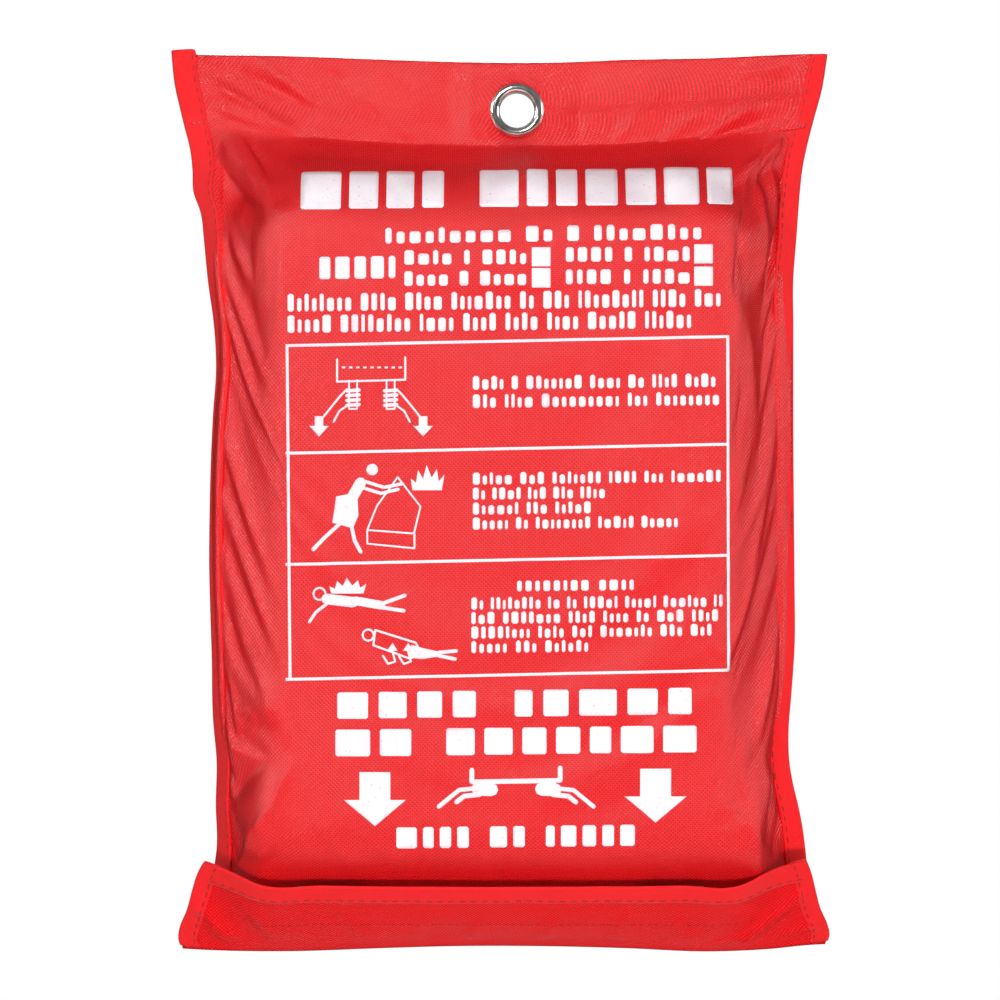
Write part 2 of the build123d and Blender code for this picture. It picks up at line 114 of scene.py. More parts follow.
def soft_noise(x, y, size, shift=0.0):
    """Smooth noise from -1 to 1 with lumps of about that size."""
    u = (np.asarray(x, float) + 1000.0 + 37.0 * shift) / size
    v = (np.asarray(y, float) + 1000.0 + 91.0 * shift) / size
    i, j = np.floor(u).astype(int), np.floor(v).astype(int)
    s, t = ramp(u - i, 0, 1), ramp(v - j, 0, 1)
    n = len(noise_table)
    a, b, c, d = (noise_table[(i + p) % n, (j + q) % n] for p, q in ((0, 0), (1, 0), (0, 1), (1, 1)))
    return 2 * ((a * (1 - s) + b * s) * (1 - t) + (c * (1 - s) + d * s) * t) - 1


def creases(x, height, folds):
    """Sum of soft folds. A fold is (x, height) of its two ends, its width and how far it stands out."""
    total = np.zeros(np.broadcast(x, height).shape)
    for x0, h0, x1, h1, width, amount in folds:
        run = math.hypot(x1 - x0, h1 - h0)
        along = ((x - x0) * (x1 - x0) + (height - h0) * (h1 - h0)) / run**2
        side = ((x - x0) * (h1 - h0) - (height - h0) * (x1 - x0)) / run
        spread = width * (0.6 + 0.8 * np.clip(along, 0, 1))
        ends = ramp(along, -0.15, 0.25) * (1 - ramp(along, 0.7, 1.12))
        total += amount * ends * np.exp(-(np.abs(side / spread) ** 1.5))
    return total


def to_row(x, depth, height):
    """Points of the row frame, in metres, from places on the pouch."""
    x, depth, height = np.broadcast_arrays(x, depth, height)
    return np.stack([x - EYELET_OFFSET, HEADER_MID - depth, height - EYELET_HEIGHT], -1) * MM


def through(points, shares):
    """x and depth at those shares of the way, on smooth curves through (share, x, depth) points."""
    places, x, depth = np.array(points, float).T
    return smooth(*zip(places, x))(shares), smooth(*zip(places, depth))(shares)


def unit(vectors):
    return vectors / np.maximum(np.linalg.norm(vectors, axis=-1, keepdims=True), 1e-12)


# ---------------------------------------------------------------- shape of the pouch
left_edge = smooth(
    (5, -126.5), (14, -121.5), (28, -116), (40, -113.6), (60, -113.6), (76, -113.2), (92, -114.6),
    (120, -115.4), (150, -116.4), (185, -116.2), (215, -115), (233, -113.8), (250, -114.6),
    (268, -117), (285, -118.6), (296, -120), (304, -123), (313, -123.6), (322, -124.8),
    (330, -127), (338, -129), (347, -131), (360, -132.4),
)
right_edge = smooth(
    (5, 127), (14, 125), (28, 123.4), (40, 122), (50, 120.6), (58, 119), (66, 117), (76, 115.2),
    (88, 114.8), (104, 116), (122, 117.2), (150, 117.2), (200, 116.8), (250, 116.8), (268, 116.8),
    (285, 118.2), (305, 120), (314, 121.2), (324, 123.4), (334, 126), (345, 129), (360, 131.4),
)
seam_depth = smooth(
    (5, 2.6), (14, 3.5), (42, 13), (80, 19.5), (150, 21), (250, 20), (280, 16), (300, 10), (316, 4.2),
    (323, HEADER_MID), (360, HEADER_MID),
)
left_tilt = smooth((5, 10), (40, 50), (80, 55), (250, 56), (290, 46), (312, 26), (330, 3), (360, 0))
right_tilt = smooth((5, 8), (40, 14), (80, 20), (250, 22), (290, 18), (312, 8), (330, 0), (360, 0))
left_leg = smooth((5, 9.2), (300, 9.2), (360, 9.4))
right_leg = smooth((5, 8.2), (60, 8.0), (100, 7.6), (280, 7.6), (330, 6.8), (360, 6.4))
binding_room = smooth((5, 1.15), (300, 1.15), (318, 1.6), (326, 2.15), (360, 2.15))
header_low = smooth(
    (-125, 331.5), (-114, 330), (-90, 326), (-50, 322), (0, 320.4), (50, 321.4), (90, 325.4),
    (114, 329), (125, 330.5),
)
header_high = smooth(
    (-132, 359.6), (-80, 358.8), (-48, 357.6), (-12, 356.5), (24, 356.5), (50, 357.5), (84, 358.2),
    (120, 359.8), (132, 360),
)
SEAM_INSET = 0.8
SEAM_SWAY = 3.0
BACK_DEPTH = 2.05


def seam(height, side):
    """The side seam: x and depth of the cloth's edge, the sine and cosine of the seam's tilt, and
    the width of the binding's front leg."""
    edge, tilt, leg = (left_edge, left_tilt, left_leg) if side < 0 else (right_edge, right_tilt, right_leg)
    angle = np.radians(tilt(height) + SEAM_SWAY * soft_noise(height, side * 50.0, 24.0, 1))
    return edge(height) - side * SEAM_INSET, seam_depth(height), np.sin(angle), np.cos(angle), leg(height)


def panel_margin(height, side, layer):
    """x and depth of a panel's edge, then of the place where it leaves the binding, for the
    front layer (1) or the back one (-1)."""
    edge, depth, sine, cosine, leg = seam(height, side)
    return edge, depth + 0.45 * layer, edge - side * leg * cosine, depth + leg * sine + 0.35 * layer


middle_depth = smooth(
    (8, 3.6), (14, 10.6), (20, 18.6), (27, 27.4), (34, 35.8), (41, 42.3), (50, 46.2), (62, 47.9),
    (90, 48.6), (160, 49.2), (250, 48.8), (282, 47.6), (295, 45.4), (303, 41.6), (309, 35.6),
    (314, 26.6), (318, 15.0), (320.6, 6.4), (322.5, 3.5), (327, 3.35), (345, 3.35),
)
left_plateau = smooth(
    (8, -96), (40, -92), (80, -85), (240, -85), (290, -86), (306, -90), (318, -104), (330, -108)
)
right_plateau = smooth(
    (8, 98), (40, 100), (80, 93), (240, 92), (290, 91), (306, 94), (318, 104), (330, 108)
)

# Soft folds that the front shows, as (x, height) to (x, height), width, amount
FRONT_FOLDS = (
    (-104.5, 34, -79, 83, 2.7, 2.3), (-97, 30, -66, 76, 5.5, -1.5), (-110, 60, -90, 82, 5.0, -2.0),
    (-109, 92, -83, 105, 4.6, 1.7), (-108, 80, -99, 84, 2.4, 1.3), (-108, 118, -90, 122, 7.0, -1.5),
    (-70, 56, -56, 34, 2.6, 0.7), (-49, 58, -40, 33, 2.6, 0.5), (101.5, 312, 103.5, 262, 2.0, 2.1),
    (108, 314, 106, 285, 1.8, 1.3), (96, 302, 92, 262, 3.6, -2.3), (99, 250, 103, 200, 2.6, 1.0),
    (96, 236, 94, 190, 3.2, -1.0), (104, 196, 100, 150, 2.6, 1.0), (108.5, 126, 98, 80, 2.4, 2.2),
    (99, 128, 91, 84, 4.0, -1.9), (98, 82, 113, 44, 2.6, 1.5), (90, 96, 86, 66, 6.0, -1.3),
    (88, 132, 88, 106, 5.0, -1.5), (84, 70, 98, 36, 5.0, 0.9), (-112, 323, -86, 303, 3.0, 2.4),
    (-114, 314, -92, 292, 3.4, -1.6), (-115, 305, -103, 300, 4.6, -1.9), (-99, 290, -99, 215, 3.4, -1.1),
    (-106, 286, -96, 256, 3.0, 1.3), (-104, 236, -94, 212, 4.0, 1.1), (-106, 190, -96, 165, 4.0, 1.0),
    (-98, 150, -92, 132, 4.5, 1.0), (92, 311, 117, 326, 2.6, 2.0), (86, 306, 112, 316, 3.2, -1.4),
    (-62, 318, -84, 300, 4.5, 1.0), (-30, 318, -44, 300, 4.0, -0.9), (14, 320, 8, 300, 6.5, 1.6),
    (44, 319, 58, 300, 4.0, -0.8), (64, 319, 80, 300, 4.0, 0.9),
)
# Soft folds of the header, in every layer of it
HEADER_FOLDS = (
    (-122, 352, -76, 324, 2.4, 1.1), (-108, 354, -64, 332, 3.0, -0.8), (-118, 340, -84, 326, 2.6, 0.9),
    (-96, 356, -58, 326, 3.0, 0.9), (-70, 354, -42, 330, 3.6, -0.9), (-62, 348, -30, 322, 2.8, 0.9),
    (-47, 357, -27, 337, 3.2, 0.6), (-12, 357, -11, 324, 3.2, 0.9), (-22, 354, -20, 326, 3.4, -0.6),
    (30, 326, 34, 354, 4.2, -0.6), (46, 324, 70, 352, 3.2, 0.8), (62, 322, 88, 342, 2.6, 0.9),
    (76, 322, 112, 346, 2.4, 1.0), (84, 325, 118, 338, 2.2, -0.8), (96, 352, 122, 356, 3.4, 0.7),
    (100, 340, 120, 352, 3.0, -0.8),
)


def header_waves(x, height):
    """How far the header's layers stand forward together. They lie still at the eyelet and the tapes."""
    waves = 2.5 * creases(x, height, HEADER_FOLDS) + 0.55 * soft_noise(x, height, 24.0, 2)
    from_eyelet = np.hypot(x - EYELET_OFFSET, height - EYELET_HEIGHT)
    still = ramp(from_eyelet, 12.5, 24.0) * (1 - ramp(np.abs(x), 108, 121))
    return waves * still * ramp(height, 314, 324)


# ---------------------------------------------------------------- mesh helpers
def link_object(name, data):
    obj = bpy.data.objects.new(name, data)
    bpy.context.scene.collection.objects.link(obj)
    return obj


def new_object(name, verts, faces, material, uvs=None):
    """A mesh object from arrays. uvs are per vertex, in millimetres of flat cloth."""
    mesh = bpy.data.meshes.new(name)
    mesh.from_pydata([tuple(v) for v in verts], [], faces)
    mesh.validate()
    mesh.update()
    if uvs is not None:
        layer = mesh.uv_layers.new(name="cloth")
        index = np.zeros(len(mesh.loops), np.int32)
        mesh.loops.foreach_get("vertex_index", index)
        layer.data.foreach_set("uv", np.asarray(uvs, np.float32)[index].ravel())
    mesh.polygons.foreach_set("use_smooth", [True] * len(mesh.polygons))
    mesh.materials.append(material)
    return link_object(name, mesh)


def grid_faces(rows, columns):
    """Faces of a sheet of rows x columns points, facing forward where x grows with the column
    and height grows with the row."""
    return [
        (r * columns + c, r * columns + c + 1, (r + 1) * columns + c + 1, (r + 1) * columns + c)
        for r in range(rows - 1)
        for c in range(columns - 1)
    ]


def tube_faces(base, rings, sides):
    """Faces of a closed tube made of rings of points, with its two flat ends."""
    faces = []
    for a in range(base, base + (rings - 1) * sides, sides):
        pairs = [(k, (k + 1) % sides) for k in range(sides)]
        faces += [(a + k, a + n, a + sides + n, a + sides + k) for k, n in pairs]
    last = base + (rings - 1) * sides
    return faces + [tuple(range(base + sides - 1, base - 1, -1)), tuple(range(last, last + sides))]


def flat_lengths(points):
    """Distance of every point of a sheet along its row and its column, in millimetres."""
    across = np.linalg.norm(np.diff(points, axis=1), axis=2) / MM
    along = np.linalg.norm(np.diff(points, axis=0), axis=2) / MM
    u = np.cumsum(np.pad(across, ((0, 0), (1, 0))), axis=1)
    u = u - u[:, u.shape[1] // 2][:, None]
    v = np.cumsum(np.pad(along.mean(1), (1, 0)))
    return np.stack([u, np.broadcast_to(v[:, None], u.shape)], -1).reshape(-1, 2)


def sheet_object(name, points, material, thickness, offset=0.0, subdivide=0):
    """A closed piece of cloth from a (rows, columns, 3) array of points in metres."""
    faces = grid_faces(*points.shape[:2])
    obj = new_object(name, points.reshape(-1, 3), faces, material, flat_lengths(points))
    if subdivide:
        smoother = obj.modifiers.new("smoother", "SUBSURF")
        smoother.levels = smoother.render_levels = subdivide
    solid = obj.modifiers.new("cloth thickness", "SOLIDIFY")
    solid.thickness = thickness * MM
    solid.offset = offset
    solid.use_even_offset = False
    return obj


STITCH_RINGS = ((0.0, 0.15), (0.12, 0.75), (0.32, 1.0), (0.68, 1.0), (0.88, 0.75), (1.0, 0.15))
STITCH_SIDES = 8


def thread(name, places, material, width=0.62, height=0.42):
    """One object of many stitches. Each place is its two ends and the way up from the cloth."""
    verts, faces = [], []
    turns = [2 * math.pi * k / STITCH_SIDES for k in range(STITCH_SIDES)]
    for start, end, up in places:
        run = (end - start).normalized()
        up = (up - run * up.dot(run)).normalized()
        wide, high = run.cross(up) * (width * MM / 2), up * (height * MM / 2)
        faces += tube_faces(len(verts), len(STITCH_RINGS), STITCH_SIDES)
        for share, full in STITCH_RINGS:
            middle = start.lerp(end, share) + high * (full - 0.7)
            verts += [middle + (wide * math.cos(turn) + high * math.sin(turn)) * full for turn in turns]
    return new_object(name, verts, faces, material)


def stitch_row(points, ups, pitch=4.4, share=0.66):
    """Places of stitches along a line of points, with the way up at each point."""
    points = [Vector(p) for p in points]
    lengths = np.cumsum([0.0] + [(b - a).length for a, b in zip(points, points[1:])])
    count = max(1, round(lengths[-1] / (pitch * MM)))

    def at(distance):
        i = int(np.clip(np.searchsorted(lengths, distance) - 1, 0, len(points) - 2))
        t = (distance - lengths[i]) / (lengths[i + 1] - lengths[i])
        return points[i].lerp(points[i + 1], t), Vector(ups[i]).lerp(Vector(ups[i + 1]), t)

    places = []
    for k in range(count):
        jitter = random.uniform(-0.04, 0.04)
        start, up = at(lengths[-1] * (k + 0.5 - share / 2 + jitter) / count)
        end, _ = at(lengths[-1] * (k + 0.5 + share / 2 + jitter) / count)
        places.append((start, end, up))
    return places


def stands_in(piece, body, slot, *nodes):
    """Puts a piece in the place of CAD nodes, and lets it ride on a body."""
    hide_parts(*nodes)
    if body:
        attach(piece, body)


# ---------------------------------------------------------------- materials
def feed(tree, socket, value):
    """Gives a socket another node's output, or a constant."""
    if isinstance(value, bpy.types.NodeSocket):
        tree.links.new(value, socket)
    else:
        socket.default_value = value


def node(tree, kind, *inputs, **settings):
    """A shader node. The inputs are fed in order, and the settings by name."""
    made = tree.nodes.new("ShaderNode" + kind)
    for key, value in settings.items():
        if key in made.inputs:
            feed(tree, made.inputs[key], value)
        else:
            setattr(made, key, value)
    for socket, value in zip(made.inputs, inputs):
        feed(tree, socket, value)
    return made


def maths(tree, operation, *values):
    return node(tree, "Math", *values, operation=operation).outputs[0]


def wave(tree, value, length):
    return maths(tree, "SINE", maths(tree, "MULTIPLY", value, 2 * math.pi / length))


def ramp_node(tree, value, *stops):
    """Colours between stops, each of them a place from 0 to 1 and a linear colour."""
    made = node(tree, "ValToRGB", value)
    elements = made.color_ramp.elements
    while len(elements) < len(stops):
        elements.new(0.5)
    for element, (place, colour) in zip(elements, stops):
        element.position = place
        element.color = (*colour, 1)
    return made.outputs["Color"]


def mix_colour(tree, share, a, b, kind="MIX"):
    made = node(tree, "Mix", share, data_type="RGBA", blend_type=kind)
    feed(tree, made.inputs[6], a)
    feed(tree, made.inputs[7], b)
    return made.outputs[2]


def srgb(r, g, b):
    """A linear colour from the usual 0 to 255 numbers."""
    return tuple(((c / 255 + 0.055) / 1.055) ** 2.4 if c > 10 else c / 255 / 12.92 for c in (r, g, b))


def new_material(name):
    made = bpy.data.materials.new(name)
    made.use_nodes = True
    return made, made.node_tree


def dress(material, colour, height, strength, distance, **values):
    """Feeds the shader its colour, a bump from a height, and its other values."""
    tree = material.node_tree
    bump = node(tree, "Bump", Strength=strength, Distance=distance * MM, Height=height)
    values.update(Base_Color=colour, Normal=bump.outputs["Normal"])
    for key, value in values.items():
        feed(tree, tree.nodes["Principled BSDF"].inputs[key.replace("_", " ")], value)
    return material


def woven(name, deep, mid, crown_highlight, pitch, roughness, bump, sheen=0.0, specular=0.5, diagonal=False):
    """Woven cloth: threads over and under at that pitch, in millimetres, slightly uneven, with
    crowns coloured paler as a painted highlight and gaps coloured darker as painted shade, and broad soft
    variation over the whole piece."""
    made, tree = new_material(name)
    uv = node(tree, "UVMap", uv_map="cloth").outputs["UV"]
    wobble = node(tree, "TexNoise", uv, Scale=0.35, Detail=2.0)
    bent = node(tree, "VectorMath", wobble.outputs["Color"], (0.35, 0.35, 0), uv, operation="MULTIPLY_ADD")
    u, v, _ = node(tree, "SeparateXYZ", bent.outputs[0]).outputs
    if diagonal:
        rib = maths(tree, "MULTIPLY", wave(tree, maths(tree, "ADD", u, v), pitch), 0.75)
        weave = maths(tree, "MULTIPLY_ADD", wave(tree, u, pitch * 0.8), 0.25, rib)
    else:
        weave = maths(tree, "MULTIPLY", wave(tree, u, pitch * 2), wave(tree, v, pitch * 2))
    weave = maths(tree, "MULTIPLY_ADD", weave, 0.5, 0.5)
    fibre = node(tree, "TexNoise", uv, Scale=3.2, Detail=2.0).outputs["Fac"]
    uneven = maths(tree, "MULTIPLY", weave, maths(tree, "MULTIPLY_ADD", fibre, 1.1, 0.45))
    # The weave pattern is the cloth's own. The deep stop is painted shade in the gaps between threads, and
    # the crown stop is a painted highlight on the thread tops.
    colour = ramp_node(tree, uneven, (0.05, srgb(*deep)), (0.45, srgb(*mid)), (0.95, srgb(*crown_highlight)))
    broad = node(tree, "TexNoise", uv, Scale=0.022, Detail=3.0).outputs["Fac"]
    patchy = ramp_node(tree, broad, (0.3, (0.86, 0.84, 0.84)), (0.7, (1.0, 1.0, 1.0)))
    colour = mix_colour(tree, 0.35, colour, mix_colour(tree, 1.0, colour, patchy, "MULTIPLY"))
    rough = maths(tree, "MULTIPLY_ADD", uneven, -0.45, roughness + 0.36)
    return dress(made, colour, uneven, bump, 0.19, Roughness=rough, Sheen_Weight=sheen,
                 Sheen_Roughness=0.5, Specular_IOR_Level=specular)


def grained(name, kind, settings, low, high, strength, distance, rub=0.0, roughness=0.5, **values):
    """A material coloured and bumped by one texture. low and high are stops of the colour."""
    made, tree = new_material(name)
    texture = node(tree, kind, node(tree, "TexCoord").outputs["Object"], **settings)
    grain = texture.outputs["Distance" if kind == "TexVoronoi" else "Fac"]
    rough = maths(tree, "MULTIPLY_ADD", grain, rub, roughness) if rub else roughness
    colour = ramp_node(tree, grain, low, high)
    return dress(made, colour, grain, strength, distance, Roughness=rough, **values)


def plain_thread(name, low, high):
    """Twisted sewing thread."""
    twist = {"Scale": 1500.0, "Distortion": 1.5, "bands_direction": "DIAGONAL"}
    stops = (0.2, srgb(*low)), (0.8, srgb(*high))
    return grained(name, "TexWave", twist, *stops, 0.5, 0.05, roughness=0.55, Sheen_Weight=0.05)


def print_ink():
    """White screen ink that lets the weave show through, a little worn."""
    made, tree = new_material("screen_print")
    place = node(tree, "TexCoord").outputs["Object"]
    weave = node(tree, "TexNoise", place, Scale=900.0, Detail=1.0).outputs["Fac"]
    patch = node(tree, "TexNoise", place, Scale=60.0, Detail=3.0).outputs["Fac"]
    white = ramp_node(tree, patch, (0.3, srgb(238, 221, 230)), (0.65, srgb(249, 240, 245)))
    pale = ramp_node(tree, weave, (0.2, srgb(243, 200, 208)), (0.34, (1, 1, 1)))
    return dress(made, mix_colour(tree, 1.0, white, pale, "MULTIPLY"), weave, 0.35, 0.06, Roughness=0.5)


# These three are one red cloth. Their gap and crown stops differ in how much painted shade and painted
# highlight each piece gets, and the flap's copy has the least of both.
OXFORD = woven("red_oxford", (140, 0, 5), (226, 5, 13), (253, 50, 57), 0.85, 0.18, 1.0)
HEADER_CLOTH = woven("red_oxford_header", (138, 0, 5), (226, 5, 13), (253, 52, 59), 0.85, 0.18, 1.0)
FLAP_CLOTH = woven("red_oxford_flap", (182, 2, 9), (230, 6, 14), (246, 26, 34), 0.8, 0.36, 1.0, specular=0.2)
RIBBON = woven("red_ribbon", (214, 12, 18), (245, 22, 28), (252, 42, 47), 0.8, 0.6, 0.6, 0.05, 0.25, True)
GLASS = woven("glass_cloth_weave", (196, 194, 184), (226, 224, 216), (244, 243, 238), 1.5, 0.6, 0.8, 0.2)
WEBBING = woven(
    "black_webbing_weave", (14, 14, 15), (30, 30, 32), (62, 62, 66), 1.3, 0.6, 1.0, 0.25, diagonal=True
)
THREAD = plain_thread("red_sewing_thread", (146, 2, 8), (194, 10, 17))
WHITE_THREAD = plain_thread("white_sewing_thread", (214, 212, 206), (246, 245, 240))
INK = print_ink()
NICKEL = grained(
    "polished_nickel", "TexNoise", {"Scale": 260.0, "Detail": 4.0}, (0.3, (0.66, 0.64, 0.61)),
    (0.6, (0.88, 0.86, 0.83)), 0.12, 0.05, rub=0.16, roughness=0.12, Metallic=1.0,
)
PILE = grained(
    "hook_and_loop_pile", "TexVoronoi", {"Scale": 1400.0}, (0.1, srgb(214, 40, 44)),
    (0.6, srgb(150, 14, 18)), 0.9, 0.3, roughness=0.8, Sheen_Weight=0.5,
)


# ---------------------------------------------------------------- front and back of the pouch
CELL = 2.5
HEM_HEIGHT = 12.0
FRONT_TOP = 327.0
BACK_TOP = 327.0
BIG = 10.0
SIM_FRAMES = 26
SIM_SHIFT = 3.0
BLOCK_ROOM = 0.8 * MM
CLOTH_SETTINGS = {
    "quality": 7, "mass": 0.25, "air_damping": 3.0, "tension_stiffness": 22, "compression_stiffness": 22,
    "shear_stiffness": 8, "bending_stiffness": 0.35, "shrink_min": -0.012, "vertex_group_mass": "pinned",
    "pin_stiffness": 1.0,
}


def front_section(height, shares):
    """x and depth of one row of the front panel, at the shares of the way across it."""
    top = middle_depth(height)
    halves = []
    for side, plateau in ((-1, left_plateau), (1, right_plateau)):
        edge, depth, inner_x, inner_depth = panel_margin(height, side, 1)
        top_x = plateau(height)
        half = [(0.0, edge, depth), (0.055, inner_x, inner_depth + 0.1)]
        for share, out, up in ((0.115, 0.27, 0.36), (0.17, 0.56, 0.73), (0.22, 0.82, 0.94)):
            half.append((share, inner_x + out * (top_x - inner_x), inner_depth + up * (top - inner_depth)))
        halves.append(half + [(0.27, top_x - 3.0 * side, top - 0.5), (0.37, top_x * 0.6, top)])
    left, right = halves
    return through(left + [(0.5, 0.0, top + 0.3)] + [(1 - t, x, d) for t, x, d in reversed(right)], shares)


def back_section(height, shares):
    """x and depth of one row of the back panel, at shares from -1 to 1 across it."""
    flat = BACK_DEPTH + 0.3 * ramp(height, 300, 322)
    halves = []
    for side in (-1, 1):
        edge, depth, inner_x, inner_depth = panel_margin(height, side, -1)
        half = [(side, edge, depth), (side * 0.92, inner_x, inner_depth)]
        for share, out, up in ((0.85, 0.45, 0.42), (0.78, 0.8, 0.12)):
            x = inner_x + out * (side * 96 - inner_x)
            half.append((side * share, x, flat + up * (inner_depth - flat)))
        halves.append(half + [(side * 0.68, side * 88, flat)])
    return through(halves[0] + [(0.0, 0.0, flat)] + halves[1][::-1], shares)


def panel_points(section, heights, shares):
    """x, depth and height of a panel's rows of points."""
    rows = np.array([section(h, shares) for h in heights])
    return rows[:, 0], rows[:, 1], np.broadcast_to(heights[:, None], rows[:, 0].shape)


def front_points():
    """The front panel as it lies on the folded blanket, from its hem up into the header."""
    heights = np.linspace(HEM_HEIGHT, FRONT_TOP, round((FRONT_TOP - HEM_HEIGHT) / CELL))
    margin = np.linspace(0, 0.055, 5)[:-1]
    shares = np.concatenate([margin, np.linspace(0.055, 0.945, 101), 1 - margin[::-1]])
    x, depth, height = panel_points(front_section, heights, shares)
    height = height + (header_low(x) - header_low(0.0)) * ramp(height, 268, 318)
    for side in (-1, 1):
        from_corner = np.hypot(x - side * 113.0, (height - 328.0) * 0.95)
        depth = 4.0 + (depth - 4.0) * (0.3 + 0.7 * ramp(from_corner, 4.0, 48.0))
    return x, depth, height


def cloth_simulation(points, pinned, freedom, low, high):
    """Runs Blender's cloth on the sheet, ten times life size, with its pinned points held and a
    block inside it, and moves every point towards where the cloth came to rest."""
    scene = bpy.context.scene
    mesh = bpy.data.meshes.new("simulated")
    mesh.from_pydata([tuple(p * BIG) for p in points.reshape(-1, 3)], [], grid_faces(*points.shape[:2]))
    sim = link_object("simulated", mesh)
    group = sim.vertex_groups.new(name="pinned")
    group.add([int(i) for i in np.flatnonzero(pinned)], 1.0, "REPLACE")

    low, high = np.array(low) * BIG, np.array(high) * BIG
    block = bpy.data.meshes.new("inside")
    bm = bmesh.new()
    bmesh.ops.create_cube(bm, size=1.0)
    for v in bm.verts:
        v.co = Vector(low + (np.array(v.co) + 0.5) * (high - low))
    bmesh.ops.bevel(bm, geom=bm.edges[:], offset=0.155, segments=5, affect="EDGES", profile=0.5)
    bm.to_mesh(block)
    bm.free()
    solid = link_object("inside", block)
    solid.modifiers.new("collision", "COLLISION")
    solid.collision.thickness_outer = 0.004
    solid.collision.cloth_friction = 6.0

    cloth = sim.modifiers.new("cloth", "CLOTH")
    for key, value in CLOTH_SETTINGS.items():
        setattr(cloth.settings, key, value)
    cloth.settings.effector_weights.gravity = 0.25
    cloth.collision_settings.distance_min = 0.004
    cloth.collision_settings.collision_quality = 3
    cloth.collision_settings.use_self_collision = False
    cloth.point_cache.frame_start = 1
    cloth.point_cache.frame_end = SIM_FRAMES
    for number in range(1, SIM_FRAMES + 1):
        scene.frame_set(number)
    settled = sim.evaluated_get(bpy.context.evaluated_depsgraph_get()).to_mesh()
    moved = np.zeros(len(settled.vertices) * 3)
    settled.vertices.foreach_get("co", moved)
    shift = moved.reshape(points.shape) / BIG - points
    length = np.linalg.norm(shift, axis=-1, keepdims=True)
    shift *= np.minimum(1.0, SIM_SHIFT * MM / np.maximum(length, 1e-9)) * freedom[..., None]
    for made in (sim, solid):
        bpy.data.objects.remove(made)
    scene.frame_set(1)
    return points + shift


def front_sheet():
    """The front panel's points with its folds, settled over the folded blanket."""
    x, depth, height = front_points()
    folds = 1.8 * creases(x, height, FRONT_FOLDS)
    folds += 0.28 * soft_noise(x, height, 17.0, 3) + 0.45 * soft_noise(x, height, 44.0, 4)
    ripples = np.cos((x + 6) / 2.35) * (0.5 + 0.5 * soft_noise(x, height, 30.0, 5))
    ripples *= ramp(height, 22, 32) * (1 - ramp(height, 38, 66)) * (1 - ramp(np.abs(x), 70, 95))
    share = np.linspace(0, 1, x.shape[1])
    free = np.minimum(ramp(share, 0.03, 0.09), 1 - ramp(share, 0.91, 0.97))
    free = free * (1 - ramp(height - header_low(x), -7.0, -1.0)) * ramp(height, 14, 30)
    points = to_row(x, depth, height)
    across, up = np.gradient(points, axis=1), np.gradient(points, axis=0)
    outward = unit(np.cross(across, up)) * MM
    points = points + outward * ((folds + 0.42 * ripples) * free)[..., None]
    points[..., 1] -= header_waves(x, height) * ramp(height - header_low(x), -1.5, 2.0) * MM
    freedom = ramp(height, 30.0, 50.0)
    low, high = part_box("folded_blanket")
    block_low = (low.x - BLOCK_ROOM, low.y - BLOCK_ROOM, low.z + 1.0 * MM)
    block_high = (high.x + BLOCK_ROOM, 0.0, high.z + 1.0 * MM)
    return cloth_simulation(points, free < 0.02, freedom, block_low, block_high)


def back_sheet():
    """The back panel's points, with its slight waves."""
    x, depth, height = panel_points(back_section, np.linspace(5.0, BACK_TOP, 110), np.linspace(-1, 1, 96))
    calm = 1 - ramp(np.abs(x), 92, 108)
    waves = 0.5 * soft_noise(x, height, 38.0, 6) + 0.25 * soft_noise(x, height, 15.0, 7)
    depth = depth + calm * waves * ramp(height, 12, 30)
    bumps = 0.8 * soft_noise(x, height, 20.0, 8) * (1 - ramp(np.abs(x), 103, 110))
    depth = depth + bumps * (1 - calm) * ramp(height, 30, 60)
    points = to_row(x, depth, height)
    points[..., 1] -= header_waves(x, height) * ramp(height, 320, 326) * MM
    return points


front = sheet_object("front_cloth", front_sheet(), OXFORD, CLOTH, offset=-1.0, subdivide=1)
stands_in(front, "pouch", "red_oxford_cloth", "front_panel", "front_hem")
back = sheet_object("back_cloth", back_sheet(), OXFORD, CLOTH)
stands_in(back, "pouch", "red_oxford_cloth", "back_panel")

# ---------------------------------------------------------------- header
HEADER_FRONT = 3.95
HEADER_BACK = 1.15
HEADER_LEVELS = (322.0, 340.0, 358.0)
HEADER_BACK_LOW = 321.5
HOLE_RADIUS = 8.2
HOLE_REACH = 15.0
HOLE_CUT = 9.4


def punched(points):
    """Opens a hole for the eyelet's barrel in a sheet, by moving its points away from the bore."""
    distance = np.maximum(np.linalg.norm(points[..., [0, 2]] / MM, axis=2), 1e-6)
    pushed = HOLE_RADIUS + distance * (HOLE_REACH - HOLE_RADIUS) / HOLE_REACH
    stretch = np.where(distance < HOLE_REACH, pushed, distance) / distance
    return points * np.stack([stretch, np.ones_like(stretch), stretch], -1)


